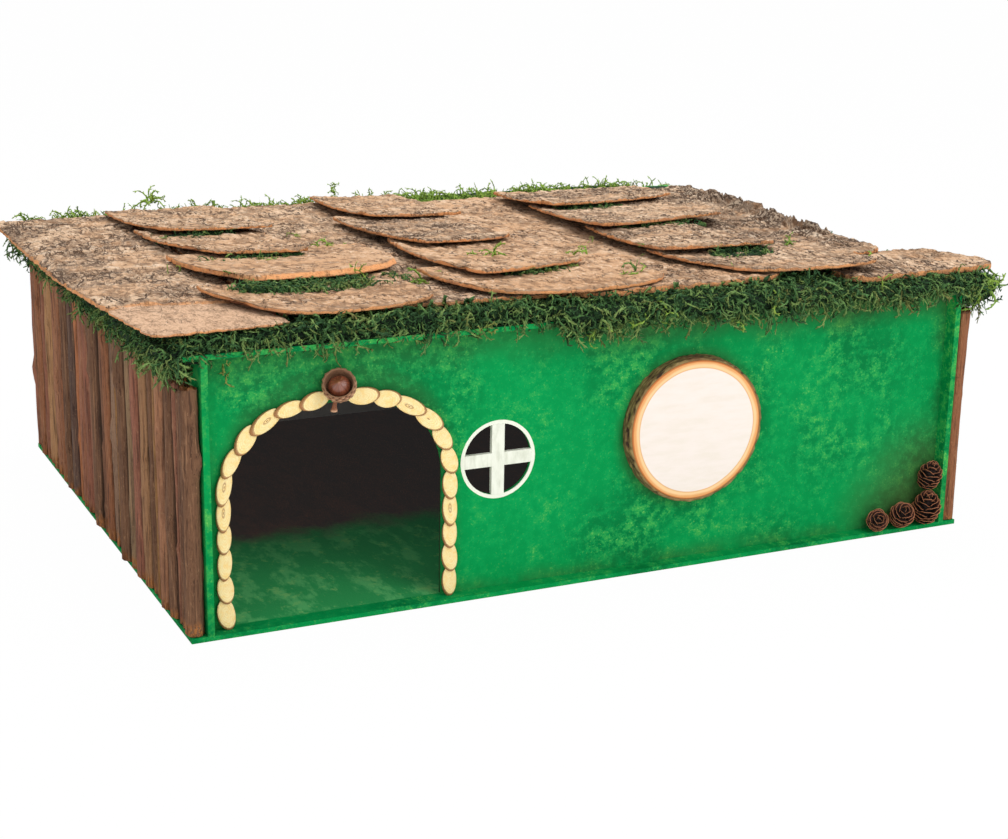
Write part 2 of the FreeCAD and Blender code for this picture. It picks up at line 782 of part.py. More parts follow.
def shingle_columns():
    """Lays the shingles row by row from the front, each upper row over the lower one's lap."""
    nodes = {}
    for number, line in enumerate(shingle_rows):
        for at, (left, right, past, thick, corners, curl, lift, turn, flare) in enumerate(line):
            name = "%s_%d" % (("left", "middle", "right")[at], len(shingle_rows) - number)
            if number + 1 < len(row_shares):
                back = row(number + 1) + shingle_lap
            else:
                back = bark_rear - shingle_steps[at]
            middle = joint(at)
            front = row(number) + past
            pad = None
            if name in moss_wedges:
                pad_left, pad_right, show, tuck = moss_wedges[name]
                share = ((pad_left + pad_right) / 2 - left) / (right - left)
                edge = front + turn * share * (right - left)
                pad = MossPad(middle + pad_left, middle + pad_right, edge - show, edge + tuck)
            piece = Bark(middle + left, middle + right, front, back, thick,
                         corners, curl, lift, turn, flare)
            nodes["shingle_" + name] = piece.solid()
            if pad:
                nodes["moss_pad_" + name] = pad.solid(piece)
    return nodes


def bark_underside(places, most):
    """Height of the lowest bark over these points, less a clearance, and no more than this."""
    heights = [piece.bottom(x, y) for x, y in places for piece in laid if piece.covers(x, y)]
    return min([most, *[height - 2 * moss_clearance for height in heights]])


def moss_front():
    """The roll between the lid's front edge and the bark, hanging over the edge."""
    edge = -half_depth
    rings = []
    for index, x in enumerate(roll_stations()):
        swell = moss_wave * math.sin(2.3 * index)
        rear = roll_rear(x)
        rise = roll_top(x) - moss_clearance
        foot = wall_top - moss_hang + swell
        out = edge - moss_out + 0.5 * swell
        rings.append([
            Vector(x, rear, lid_top + moss_clearance),
            Vector(x, rear, rise),
            Vector(x, edge - moss_out / 2, rise),
            Vector(x, out, rise - moss_shoulder),
            Vector(x, out + moss_round, foot + moss_round),
            Vector(x, edge - moss_round, foot),
            Vector(x, edge - moss_clearance, foot),
            Vector(x, edge - moss_clearance, lid_top + moss_clearance),
        ])
    return skin(rings)


def moss_side(side):
    """The roll along a side: over the branch tops, under the lid's edge and out past it."""
    wall = half_width + moss_clearance
    edge = board_end + moss_clearance
    out = board_end + moss_side_out
    shelf = branch_top + branch_clearance + moss_clearance
    end = half_depth - moss_clearance
    rings = []
    count = 12
    step = 2 * end / count
    for index in range(count + 1):
        y = -end + step * index
        swell = moss_wave * (1 + math.sin(1.9 * index + side))
        near = [(reach, y + along) for reach in (0, 4, 8, 12) for along in (-step, 0, step)]
        inner = [(side * (edge + reach), at) for reach, at in near]
        outer = [(side * (out - reach), at) for reach, at in near]
        inner_top = bark_underside(inner, lid_top + moss_side_rise)
        outer_top = bark_underside(outer, lid_top + moss_side_edge)
        rings.append([
            Vector(side * wall, y, shelf),
            Vector(side * wall, y, wall_top - moss_clearance),
            Vector(side * edge, y, wall_top - moss_clearance),
            Vector(side * edge, y, inner_top),
            Vector(side * (out - moss_round), y, outer_top),
            Vector(side * out, y, wall_top - moss_round),
            Vector(side * (out - moss_round / 2), y, shelf + moss_round + 0.5 * swell),
            Vector(side * (out - 3 * moss_round), y, shelf + 0.5 * swell),
        ])
    return skin(rings)


def moss_back():
    """The roll on the lid's rear edge, under the bark and behind it."""
    edge = half_depth + moss_clearance
    rings = []
    count = 10
    for index in range(count + 1):
        x = -board_end + 2 * board_end * index / count
        swell = moss_wave * math.sin(2.1 * index + 1)
        rings.append([
            Vector(x, half_depth - moss_roll_width, lid_top + moss_clearance),
            Vector(x, half_depth - moss_roll_width, lid_top + moss_rear - moss_clearance),
            Vector(x, bark_rear + moss_clearance, lid_top + moss_rear - moss_clearance),
            Vector(x, bark_rear + 4 * moss_clearance, lid_top + moss_rear_rise + swell),
            Vector(x, half_depth + moss_out - moss_round, lid_top + moss_round),
            Vector(x, half_depth + moss_out - moss_round, wall_top - moss_hang + swell),
            Vector(x, edge, wall_top - moss_hang + swell),
            Vector(x, edge, lid_top + moss_clearance),
        ])
    return skin(rings)


def build():
    upright, crossbar = window_strips()
    nodes = {
        "floor_board": floor_board(),
        "left_wall": side_wall(-1),
        "right_wall": side_wall(1),
        "back_wall": back_wall(),
        "front_panel": front_panel(),
        "window_upright": upright,
        "window_crossbar": crossbar,
        "name_slice": name_slice(),
        "name_slice_bark": name_slice_bark(),
        "door_trim_left": door_trim(-1),
        "door_trim_right": door_trim(1),
        "acorn_cup": acorn_cup(),
        "acorn_nut": acorn_nut(),
        "left_branches": branch_row(-1),
        "right_branches": branch_row(1),
        "lid": lid(),
        "batten_front": batten(-1),
        "batten_back": batten(1),
    }
    for name in ("cone_1", "cone_2", "cone_3"):
        nodes[name] = cone(name, floor_thick)
    nodes["cone_4"] = cone("cone_4", nodes["cone_3"].BoundBox.ZMax)
    for name, piece in long_sheets().items():
        nodes[name] = piece.solid()
    nodes.update(shingle_columns())
    nodes["moss_front"] = moss_front()
    nodes["moss_left"] = moss_side(-1)
    nodes["moss_right"] = moss_side(1)
    nodes["moss_back"] = moss_back()
    return nodes


def main():
    os.makedirs("parts", exist_ok=True)
    for name, shape in build().items():
        shape.exportStep("parts/" + name + ".step")
        print(name, len(shape.Solids), "solids", round(shape.Volume / 1000, 2), "cm3", shape.isValid())


main()
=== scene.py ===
import bmesh
import bpy
import itertools
import json
import math
import numpy as np
import random
from mathutils import Matrix, Vector
from mathutils.bvhtree import BVHTree

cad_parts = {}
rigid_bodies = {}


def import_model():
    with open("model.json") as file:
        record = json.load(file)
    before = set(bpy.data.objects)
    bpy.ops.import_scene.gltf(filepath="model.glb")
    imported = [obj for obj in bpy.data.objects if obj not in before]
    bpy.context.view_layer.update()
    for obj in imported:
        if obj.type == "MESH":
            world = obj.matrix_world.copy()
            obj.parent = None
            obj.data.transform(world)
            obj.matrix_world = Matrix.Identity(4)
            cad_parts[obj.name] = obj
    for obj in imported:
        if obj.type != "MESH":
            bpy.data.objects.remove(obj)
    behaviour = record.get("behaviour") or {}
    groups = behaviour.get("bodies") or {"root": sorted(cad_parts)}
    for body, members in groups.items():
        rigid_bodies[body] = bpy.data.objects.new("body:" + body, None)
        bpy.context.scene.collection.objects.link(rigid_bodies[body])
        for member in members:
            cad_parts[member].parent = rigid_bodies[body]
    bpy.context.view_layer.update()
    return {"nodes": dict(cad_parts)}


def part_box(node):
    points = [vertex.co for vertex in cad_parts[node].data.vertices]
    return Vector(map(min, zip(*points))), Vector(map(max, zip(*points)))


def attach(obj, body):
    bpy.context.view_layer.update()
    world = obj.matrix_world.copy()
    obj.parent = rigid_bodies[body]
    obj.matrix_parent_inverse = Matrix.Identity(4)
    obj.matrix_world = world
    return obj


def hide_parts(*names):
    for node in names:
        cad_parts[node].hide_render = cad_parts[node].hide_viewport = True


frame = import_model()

nodes = frame["nodes"]
scene = bpy.context.scene
mm = 0.001
goldenShare = 0.618034
fullTurn, thirdTurn = 6.2832, 2.0944


# Small node-graph kit, shared by the materials and the Geometry Nodes trees

def tint(red, green, blue):
    # a colour as a paint program shows it, 0 to 255, turned to the linear values Blender uses
    return tuple(
        c / 255 / 12.92 if c < 10.4 else ((c / 255 + 0.055) / 1.055) ** 2.4 for c in (red, green, blue)
    )


class Wire:
    # one output socket; sums and products of wires and numbers add Math nodes
    def __init__(self, graph, socket):
        self.graph, self.socket = graph, socket

    def math(self, operation, *values):
        return self.graph.add("ShaderNodeMath", {"operation": operation}, *values)

    def __add__(self, other):
        return self.math("ADD", self, other)

    def __sub__(self, other):
        return self.math("SUBTRACT", self, other)

    def __rsub__(self, other):
        return self.math("SUBTRACT", other, self)

    def __mul__(self, other):
        return self.math("MULTIPLY", self, other)

    def __truediv__(self, other):
        return self.math("DIVIDE", self, other)

    def __pow__(self, other):
        return self.math("POWER", self, other)

    def __abs__(self):
        return self.math("ABSOLUTE", self)

    def sine(self):
        return self.math("SINE", self)

    __radd__, __rmul__ = __add__, __mul__


class Graph:
    # a node tree; at is the place that noises read where they are given no other
    def __init__(self, tree):
        self.tree, self.at = tree, None

    def feed(self, socket, value):
        if isinstance(value, Wire):
            self.tree.links.new(value.socket, socket)
        elif isinstance(value, tuple) and socket.type == "RGBA" and len(value) == 3:
            socket.default_value = (*value, 1)
        else:
            socket.default_value = value

    def add(self, kind, settings=None, *values, out=0, **named):
        # settings first, then the values or links of its sockets, by order or by name
        node = self.tree.nodes.new(kind)
        for key, value in (settings or {}).items():
            if key == "stops":
                while len(node.color_ramp.elements) < len(value):
                    node.color_ramp.elements.new(1)
                for element, (place, colour) in zip(node.color_ramp.elements, value):
                    element.position, element.color = place, (*colour, 1)
            else:
                setattr(node, key, value)
        for index, value in enumerate(values):
            if value is not None:
                self.feed(node.inputs[index], value)
        for key, value in named.items():
            self.feed(node.inputs[key.replace("_", " ")], value)
        return Wire(self, node.outputs[out])

    def outs(self, wire, name):
        return Wire(self, wire.socket.node.outputs[name])

    def axes(self):
        split = self.add("ShaderNodeSeparateXYZ", None, self.at)
        return split, self.outs(split, "Y"), self.outs(split, "Z")

    def vector(self, x=0.0, y=0.0, z=0.0):
        return self.add("ShaderNodeCombineXYZ", None, x, y, z)

    def scaled(self, vector, size):
        return self.add("ShaderNodeVectorMath", {"operation": "SCALE"}, vector, Scale=size)

    def plus(self, first, second):
        return self.add("ShaderNodeVectorMath", {"operation": "ADD"}, first, second)

    def noise(self, scale, vector=None, detail=3.0, rough=0.55, warp=0.0, out="Fac"):
        return self.add("ShaderNodeTexNoise", None, out=out, Vector=vector or self.at, Scale=scale,
                        Detail=detail, Roughness=rough, Distortion=warp)

    def band(self, value, low, high):
        # 0 below low, 1 above high; the other way round where low is the larger
        return self.add("ShaderNodeMapRange", {"interpolation_type": "SMOOTHSTEP"}, value, low, high)

    def most(self, first, second):
        return self.add("ShaderNodeMath", {"operation": "MAXIMUM"}, first, second)

    def least(self, first, second):
        return self.add("ShaderNodeMath", {"operation": "MINIMUM"}, first, second)

    def show(self, shader, kind="ShaderNodeOutputMaterial"):
        output = self.tree.nodes.new(kind)
        self.tree.links.new(shader.socket, output.inputs[0])


class Paint(Graph):
    # one material
    def __init__(self, name):
        self.material = bpy.data.materials.new(name)
        self.material.use_nodes = True
        super().__init__(self.material.node_tree)
        self.tree.nodes.clear()
        self.at = self.add("ShaderNodeTexCoord", out="Object")

    def stretch(self, sizes, vector=None):
        return self.add("ShaderNodeVectorMath", {"operation": "MULTIPLY"}, vector or self.at, sizes)

    def attribute(self, name):
        return self.add("ShaderNodeAttribute", {"attribute_name": name}, out="Fac")

    def ramp(self, value, *stops):
        return self.add("ShaderNodeValToRGB", {"stops": stops}, value)

    def distance(self, spot, x, z):
        return ((x - spot[0]) ** 2 + (z - spot[1]) ** 2) ** 0.5

    def mix(self, share, first, second):
        # the Mix node keeps a set of sockets for each type; 6 and 7 are its colours
        return self.add("ShaderNodeMix", {"data_type": "RGBA"}, share, *[None] * 5, first, second, out=2)

    def finish(self, colour, roughness, height, depth, **more):
        # height and depth, in metres, are those of the bump
        bump = self.add("ShaderNodeBump", None, out="Normal", Height=height, Distance=depth)
        self.show(self.add("ShaderNodeBsdfPrincipled", None, Base_Color=colour, Roughness=roughness,
                           Normal=bump, **more))
        return self.material


class Recipe(Graph):
    # one Geometry Nodes tree with named inputs
    kinds = {float: "NodeSocketFloat", int: "NodeSocketInt", "object": "NodeSocketObject",
             "collection": "NodeSocketCollection"}

    def __init__(self, name, **inputs):
        super().__init__(bpy.data.node_groups.new(name, "GeometryNodeTree"))
        face = self.tree.interface
        face.new_socket("Geometry", in_out="INPUT", socket_type="NodeSocketGeometry")
        face.new_socket("Geometry", in_out="OUTPUT", socket_type="NodeSocketGeometry")
        self.keys = {}
        for label, value in inputs.items():
            kind = value if isinstance(value, str) else type(value)
            socket = face.new_socket(label, in_out="INPUT", socket_type=self.kinds[kind])
            if not isinstance(value, str):
                socket.default_value = value
            self.keys[label] = socket.identifier
        self.start = self.tree.nodes.new("NodeGroupInput")
        self.base = Wire(self, self.start.outputs[0])
        self.at = self.add("GeometryNodeInputPosition")

    def given(self, label):
        return Wire(self, self.start.outputs[label])

    def named(self, label):
        return self.add("GeometryNodeInputNamedAttribute", {"data_type": "FLOAT"}, label)

    def chance(self, step=0):
        # 0 to 1, drawn for each point
        seed = self.given("Seed")
        seed = seed + step if step else seed
        return self.add("FunctionNodeRandomValue", {"data_type": "FLOAT"}, out=1, Seed=seed)

    def unit(self, label):
        return self.add("GeometryNodeObjectInfo", None, self.given(label), out="Geometry")

    def rotation(self, x=0.0, y=0.0, z=0.0):
        return self.add("FunctionNodeEulerToRotation", None, self.vector(x, y, z))

    def turned(self, first, second):
        return self.add("FunctionNodeRotateRotation", {"rotation_space": "LOCAL"}, first, second)

    def moved(self, geometry, offset):
        return self.add("GeometryNodeSetPosition", None, Geometry=geometry, Offset=offset)

    def stored(self, geometry, label, value):
        settings = {"data_type": "FLOAT", "domain": "POINT"}
        return self.add("GeometryNodeStoreNamedAttribute", settings, geometry, Name=label, Value=value)

    def withBase(self, geometry):
        both = self.add("GeometryNodeJoinGeometry", None, geometry)
        self.tree.links.new(self.base.socket, both.socket.node.inputs[0])
        return both

    def close(self, geometry, material):
        real = self.add("GeometryNodeRealizeInstances", None, geometry)
        self.show(self.add("GeometryNodeSetMaterial", None, real, Material=material), "NodeGroupOutput")

    def grow(self, base, name, **values):
        # the result as a plain mesh; the base and its modifier go
        step = base.modifiers.new("grow", "NODES")
        step.node_group = self.tree
        for label, value in values.items():
            step[self.keys[label]] = value
        bpy.context.view_layer.update()
        graph = bpy.context.evaluated_depsgraph_get()
        mesh = bpy.data.meshes.new_from_object(
            base.evaluated_get(graph), preserve_all_data_layers=True, depsgraph=graph)
        base.modifiers.remove(step)
        bpy.data.objects.remove(base)
        mesh.name = name
        piece = bpy.data.objects.new(name, mesh)
        scene.collection.objects.link(piece)
        return piece


# Mesh helpers

def place(name, points, faces, material=None, smooth=True):
    mesh = bpy.data.meshes.new(name)
    mesh.from_pydata([tuple(map(float, p)) for p in points], [], [tuple(map(int, f)) for f in faces])
    mesh.update()
    if smooth:
        mesh.shade_smooth()
    if material:
        mesh.materials.append(material)
    piece = bpy.data.objects.new(name, mesh)
    scene.collection.objects.link(piece)
    return piece


def hold(piece, body, slot, *replaced):
    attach(piece, body)
    if replaced:
        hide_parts(*replaced)
    return piece


def mark(piece, name, values, domain="POINT"):
    # a named value on each point or face, for the materials and the trees
    layer = piece.data.attributes.new(name, "FLOAT", domain)
    layer.data.foreach_set("value", np.asarray(values, np.float32))


def merged(node):
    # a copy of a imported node's loose triangles, joined up
    shape = bmesh.new()
    shape.from_mesh(nodes[node].data)
    bmesh.ops.remove_doubles(shape, verts=shape.verts, dist=2e-6)
    return shape


def islands(node):
    # the loose parts of a node, each as an array of its corners
    shape = merged(node)
    left, parts = set(shape.verts), []
    while left:
        stack, part = [left.pop()], []
        while stack:
            vertex = stack.pop()
            part.append(tuple(vertex.co))
            for edge in vertex.link_edges:
                other = edge.other_vert(vertex)
                if other in left:
                    left.discard(other)
                    stack.append(other)
        parts.append(np.array(sorted(part)))
    shape.free()
    return parts


def wall(rings, sides, start=0, inward=False):
    # the quads between rings of corners that follow one another
    faces = []
    for ring in range(rings - 1):
        for side in range(sides):
            after = (side + 1) % sides
            low, high = start + ring * sides, start + (ring + 1) * sides
            corners = (low + side, low + after, high + after, high + side)
            faces.append(corners[:1] + corners[:0:-1] if inward else corners)
    return faces


def turned(profile, sides):
    # rings of a turned shape from its bottom, closed at both ends
    points = []
    for radius, height in profile:
        for side in range(sides):
            turn = 2 * math.pi * side / sides
            points.append((radius * math.cos(turn), radius * math.sin(turn), height))
    last = (len(profile) - 1) * sides
    faces = wall(len(profile), sides) + [tuple(range(sides))[::-1], tuple(range(last, last + sides))]
    return np.array(points), faces


def grain(points, seed=0):
    # gradient noise over an array of points, about -1 to 1
    points = np.asarray(points, float)
    cell = np.floor(points).astype(np.int64)
    part = points - cell
    fade = part ** 3 * (part * (part * 6 - 15) + 10)
    total = np.zeros(len(points))
    for corner in itertools.product((0, 1), repeat=3):
        near = cell + corner
        code = (near[:, 0] * 73856093) ^ (near[:, 1] * 19349663) ^ (near[:, 2] * 83492791) ^ (seed * 2654435)
        code = ((code ^ (code >> 13)) * 1274126177) & 0x7FFFFFFF
        code = ((code ^ (code >> 15)) * 1911520717) & 0x7FFFFFFF
        pulls = np.stack([(code >> shift & 1023) / 511.5 - 1 for shift in (0, 10, 20)], 1)
        weight = np.prod(np.where(corner, fade, 1 - fade), 1)
        total += weight * np.sum(pulls * (part - corner), 1)
    return total * 1.5


def layers(points, seed=0, count=3, gain=0.5):
    # grain at ever finer scales
    return sum(grain(np.asarray(points) * 2 ** k, seed + 7 * k) * gain ** k for k in range(count))


def ease(values, low, high):
    # 0 at low, 1 at high, smooth between them
    share = np.clip((values - low) / (high - low), 0, 1)
    return share * share * (3 - 2 * share)


# Stage: camera of the photograph, plain pale floor, soft light

stage = {
    "lens": 68.133,
    "sensor": 36,
    "eye": (-0.554449, -1.216738, 0.443119),
    "turn": (25.417, 16.411, 0.976),       # yaw, pitch down, roll, in degrees
    "floor": (0.93, 0.93, 0.925),
    "floorReach": 6.0,                     # from the middle of the floor to its sides
    "glow": 0.985,                         # how white the floor is where nothing shades it
    "sky": 0.56,
    "white": (1.0, 1.0, 1.0),
    "lamps": {                             # power, size, place and the spot it points at
        "keyLight": (9.5, 0.9, (0.55, -1.35, 1.25), (0, 0, 0.1)),
        "fillLight": (4.0, 1.4, (-1.5, -0.9, 0.7), (0, 0, 0.1)),
        "frontLight": (4.5, 1.0, (-0.45, -1.9, 0.35), (-0.15, 0, 0.08)),
        "topLight": (22.0, 1.6, (0.2, 0.5, 1.6), (0, 0, 0.15)),
    },
}


def setCamera():
    yaw, pitch, roll = (math.radians(angle) for angle in stage["turn"])
    ahead = Vector((math.sin(yaw) * math.cos(pitch), math.cos(yaw) * math.cos(pitch), -math.sin(pitch)))
    level = Vector((math.cos(yaw), -math.sin(yaw), 0))
    rise = level.cross(ahead)
    right = math.cos(roll) * level + math.sin(roll) * rise
    up = math.cos(roll) * rise - math.sin(roll) * level
    data = bpy.data.cameras.new("photoCamera")
    data.lens, data.sensor_width, data.clip_start = stage["lens"], stage["sensor"], 0.01
    camera = bpy.data.objects.new("photoCamera", data)
    turn = Matrix((right, up, -ahead)).transposed().to_4x4()
    camera.matrix_world = Matrix.Translation(stage["eye"]) @ turn
    scene.collection.objects.link(camera)
    scene.camera = camera
    scene.view_settings.view_transform = "Standard"


def setLight():
    world = bpy.data.worlds.new("studio")
    world.use_nodes = True
    scene.world = world
    graph = Graph(world.node_tree)
    world.node_tree.nodes.clear()
    seen = graph.add("ShaderNodeLightPath", out="Is Camera Ray")
    glossy = graph.outs(seen, "Is Glossy Ray")
    sky = graph.add("ShaderNodeBackground", None, stage["white"], stage["sky"])
    white = graph.add("ShaderNodeBackground", None, stage["white"], 1.0)
    both = graph.add("ShaderNodeMixShader", None, graph.most(seen, glossy), sky, white)
    graph.show(both, "ShaderNodeOutputWorld")
    for name, (power, size, spot, target) in stage["lamps"].items():
        light = bpy.data.lights.new(name, "AREA")
        light.energy, light.size = power, size
        lamp = bpy.data.objects.new(name, light)
        lamp.location = spot
        lamp.rotation_euler = (Vector(target) - Vector(spot)).to_track_quat("-Z", "Y").to_euler()
        scene.collection.objects.link(lamp)


def setFloor():
    paint = Paint("paleFloor")
    matt = paint.add("ShaderNodeBsdfDiffuse", None, stage["floor"])
    glow = paint.add("ShaderNodeEmission", None, stage["white"], 1.0)
    seen = paint.add("ShaderNodeLightPath", out="Is Camera Ray")
    paint.show(paint.add("ShaderNodeMixShader", None, seen * stage["glow"], matt, glow))
    reach = stage["floorReach"]
    corners = [(-reach, -reach, 0), (reach, -reach, 0), (reach, reach, 0), (-reach, reach, 0)]
    place("floorSheet", corners, [(0, 1, 2, 3)], paint.material, smooth=False)


setCamera()
setLight()
setFloor()
print("stage is set")


# Green boards

board = {
    "green": tint(0, 147, 74),
    "deepGreen": tint(0, 119, 60),
    "mottle": tint(6, 160, 84),
    "dapple": tint(66, 174, 82),
    "speck": tint(134, 206, 104),
    "scuff": tint(104, 178, 66),
    # painted shade for the panel, under the roof and round the parts that stand on it
    "shadeGreen": tint(66, 80, 40),
    "rawWood": tint(112, 66, 44),
    # painted shade for the inside of the house: the panel's cut edges and back, the lid's underside
    "insideShade": tint(52, 46, 40),
    "inside": tint(142, 134, 126),
    "insideFloor": tint(48, 156, 84),
    "insideGlow": 0.014,              # light that finds its way in
    "floorLight": ((0.35, 1.5, 0.7), (1.0, 0.96, 0.96)),   # its colour on the paint and on the bare wood
    "freshDab": tint(96, 190, 112),   # dabs on the floor inside
    "paleDab": tint(150, 206, 118),
    "darkWood": tint(76, 48, 36),
    "ring": tint(240, 243, 226),
    # places in metres
    "panelFront": (-0.1993, -0.1996), # the ring is painted in front of these depths
    "panelCut": (-0.1985, -0.1965),   # and the panel's cut edges and its back, painted in shade, show behind these
    "window": (-0.0749, 0.0864),      # middle of the round hole
    "ringRadius": 0.0252,
    "sign": (0.0617, 0.0924),
    "signRadius": 0.049,
    "coneCorner": (0.262, 0.003),
    "door": (-0.1802, 0.0675, 0.0827),  # middle, half width and spring line
    "shadeTop": (0.16, 0.19),         # heights over which the painted shade under the roof thickens
    "shadeSides": ((0.246, 0.262), (-0.25, -0.263)),
    "floorEdges": ((0.2615, 0.2605), (-0.1985, -0.197)),   # what lies within them is the floor inside
    "bareFloor": (-0.035, 0.005),     # depths over which the floor's paint gives out
    "insideEdges": ((0.2613, 0.2608), (0.1968, 0.1962), (0.1702, 0.17)),   # the same for the walls
    "insideTop": (0.166, 0.1695),     # the lid's underside and the walls' top edges, painted in shade
}


def panelShade(paint, x, z, patch, cloud):
    # painted shade under the moss, round the sign, the cones and the doorway, and at the panel's sides and
    # foot
    shadeShare = paint.band(z + patch * 0.03 + cloud * 0.01, *board["shadeTop"])
    shadeShare = shadeShare * (paint.band(x, -0.1, 0.12) * 0.5 + 0.3)
    sign = paint.distance(board["sign"], x, z) + patch * 0.008
    near = paint.band(sign, board["signRadius"] + 0.013, board["signRadius"] - 0.003)
    shadeShare = paint.most(shadeShare, near * 0.55)
    corner = paint.distance(board["coneCorner"], x, z) + patch * 0.03
    shadeShare = paint.most(shadeShare, paint.band(corner, 0.105, 0.04) * 0.8)
    middle, half, spring = board["door"]
    over = paint.most(z - spring, 0.0)
    reach = (abs(x - middle) ** 2 + over ** 2) ** 0.5
    shadeShare = paint.most(shadeShare, paint.band(reach + patch * 0.006, half + 0.018, half + 0.006) * 0.25)
    right, left = board["shadeSides"]
    edges = paint.most(paint.band(x, *right), paint.band(x, *left))
    edges = paint.most(edges, paint.band(z, 0.016, 0.002))
    return paint.most(shadeShare, edges * paint.band(patch, 0.35, 0.65) * 0.35)


def greenPaint(name, front=False, floor=False):
    # sponged paint: two greens with lighter dabs, and a little light where the inside shows
    paint = Paint(name)
    black = (0.0, 0.0, 0.0)
    more = {}
    x, y, z = paint.axes()
    cloud = paint.noise(9.0, detail=2.0)
    patch = paint.noise(26.0, detail=4.0, rough=0.6)
    dab = paint.noise(130.0, detail=6.0, rough=0.75)
    fine = paint.noise(620.0, detail=3.0, rough=0.7)
    sponged = paint.band(patch + cloud * 0.5, 0.7, 0.92)
    colour = paint.mix(paint.band(cloud + patch * 0.4, 0.6, 0.82), board["green"], board["deepGreen"])
    colour = paint.mix(paint.band(dab + patch * 0.4, 0.6, 0.8) * 0.7, colour, board["mottle"])
    dapple = paint.band(dab + fine * 0.3, 0.6, 0.78) * (sponged * 0.85 + 0.06)
    colour = paint.mix(dapple, colour, board["dapple"])
    specks = paint.band(fine + dab * 0.5, 0.84, 0.96) * (sponged * 0.75 + 0.2)
    colour = paint.mix(specks * 0.8, colour, board["speck"])
    if front:
        # painted shade under the moss, round the sign, the cones and the doorway, and in the panel's corners
        colour = paint.mix(panelShade(paint, x, z, patch, cloud), colour, board["shadeGreen"])
        ring = paint.distance(board["window"], x, z) + (dab - 0.5) * 0.0008
        outer = board["ringRadius"]
        ring = paint.band(ring, outer + 0.0002, outer) * paint.band(y, *board["panelFront"])
        colour = paint.mix(ring, colour, board["ring"])
        # painted shade on the panel's cut edges and its back
        colour = paint.mix(paint.band(y, *board["panelCut"]), colour, board["insideShade"])
    elif floor:
        sides, ahead = board["floorEdges"]
        within = paint.band(abs(x), *sides) * paint.band(y, *ahead)
        smear = paint.noise(55.0, paint.stretch((1.3, 0.55, 1)), detail=6.0, rough=0.7)
        wet = paint.mix(paint.band(smear, 0.46, 0.6), board["insideFloor"], board["freshDab"])
        wet = paint.mix(paint.band(dab + smear * 0.5, 0.8, 0.92) * 0.5, wet, board["paleDab"])
        colour = paint.mix(within * 0.9, colour, wet)
        bare = paint.band(y + patch * 0.05 + smear * 0.04, *board["bareFloor"]) * within
        wood = paint.mix(paint.band(smear, 0.35, 0.65), board["rawWood"], board["darkWood"])
        colour = paint.mix(bare, colour, wood)
        glow = paint.mix(within, black, paint.mix(bare, *board["floorLight"]))
        more = {"Emission_Color": glow, "Emission_Strength": board["insideGlow"]}
    else:
        colour = paint.mix(paint.band(dab + fine * 0.3, 0.6, 0.74) * 0.15, colour, board["scuff"])
        sides, depths, heights = board["insideEdges"]
        inside = paint.band(abs(x), *sides) * paint.band(abs(y), *depths) * paint.band(z, *heights)
        colour = paint.mix(inside, colour, board["inside"])
        # painted shade on the lid's underside and the walls' top edges inside
        colour = paint.mix(inside * paint.band(z, *board["insideTop"]), colour, board["insideShade"])
        glow = paint.mix(inside, black, stage["white"])
        more = {"Emission_Color": glow, "Emission_Strength": board["insideGlow"]}
    strokes = paint.noise(60.0, paint.stretch((1, 1, 2.5)), detail=4.0)
    return paint.finish(colour, paint.band(dab, 0.2, 0.8) * 0.2 + 0.65, fine * 0.5 + strokes * 0.5, 0.0004,
                        Specular_IOR_Level=0.07, **more)


def recolour(material, *names):
    for name in names:
        mesh = nodes[name].data
        mesh.materials.clear()
        mesh.materials.append(material)


def rawWood(name, light, dark):
    paint = Paint(name)
    streak = paint.noise(60.0, paint.stretch((0.15, 1, 1)), detail=5.0, warp=0.4)
    colour = paint.mix(paint.band(streak, 0.3, 0.7), light, dark)
    return paint.finish(colour, 0.85, streak, 0.0004)


def whitePaint():
    paint = Paint("whitePaint")
    brush = paint.noise(240.0, paint.stretch((1, 1, 0.3)), detail=4.0)
    colour = paint.mix(paint.band(brush, 0.35, 0.75), tint(241, 243, 228), tint(214, 217, 198))
    return paint.finish(colour, 0.55, brush, 0.0003)


recolour(greenPaint("panelPaint", front=True), "front_panel")
recolour(greenPaint("floorPaint", floor=True), "floor_board")
recolour(greenPaint("boardPaint"), "left_wall", "right_wall", "back_wall", "lid")
recolour(rawWood("battenWood", tint(176, 132, 88), tint(142, 98, 62)), "batten_front", "batten_back")
recolour(whitePaint(), "window_upright", "window_crossbar")
print("boards are painted")


# Bark

barkLook = {
    "pitch": 1.4,             # mm between the points of a shingle
    "longPitch": 1.9,         # and of a long sheet
    "long": 220,              # mm from which a piece is a long sheet
    "ridge": (14, 13, 5.5),   # how far from the last sheet's right edge its ridges lie, their width, height
    "corner": (8, 21),        # mm that the corner piece's front runs forward and its rear corner is cut by
    "torn": (-118, -0.235),   # where the left sheet's outer layer ends at x -300, and the line's lean
    "folds": [(188, -0.58, 1.3), (66, -0.26, 1.4), (8, -0.54, 0.9)],   # left sheet: place, lean, height
    # dark: the colour of the cracks and crusty patches, also the painted shade in the furrows
    "dark": tint(72, 50, 36),
    "mid": tint(198, 162, 130),
    "pale": tint(224, 192, 160),
    "tan": tint(204, 156, 114),
    "crust": tint(134, 108, 86),
    # flake: pale flecks, also the painted highlight on raised flakes and along the crack rims
    "flake": tint(244, 222, 196),
    "smooth": tint(232, 192, 158),
    "smoothDark": tint(182, 142, 110),
    "smoothPatch": tint(176, 138, 106),
    "inner": tint(234, 164, 108),
    "innerPale": tint(228, 172, 122),
    "innerDark": tint(164, 98, 60),
    "speck": tint(66, 34, 22),
    "oldEdge": tint(204, 148, 108),
    "underside": tint(96, 62, 42),
}
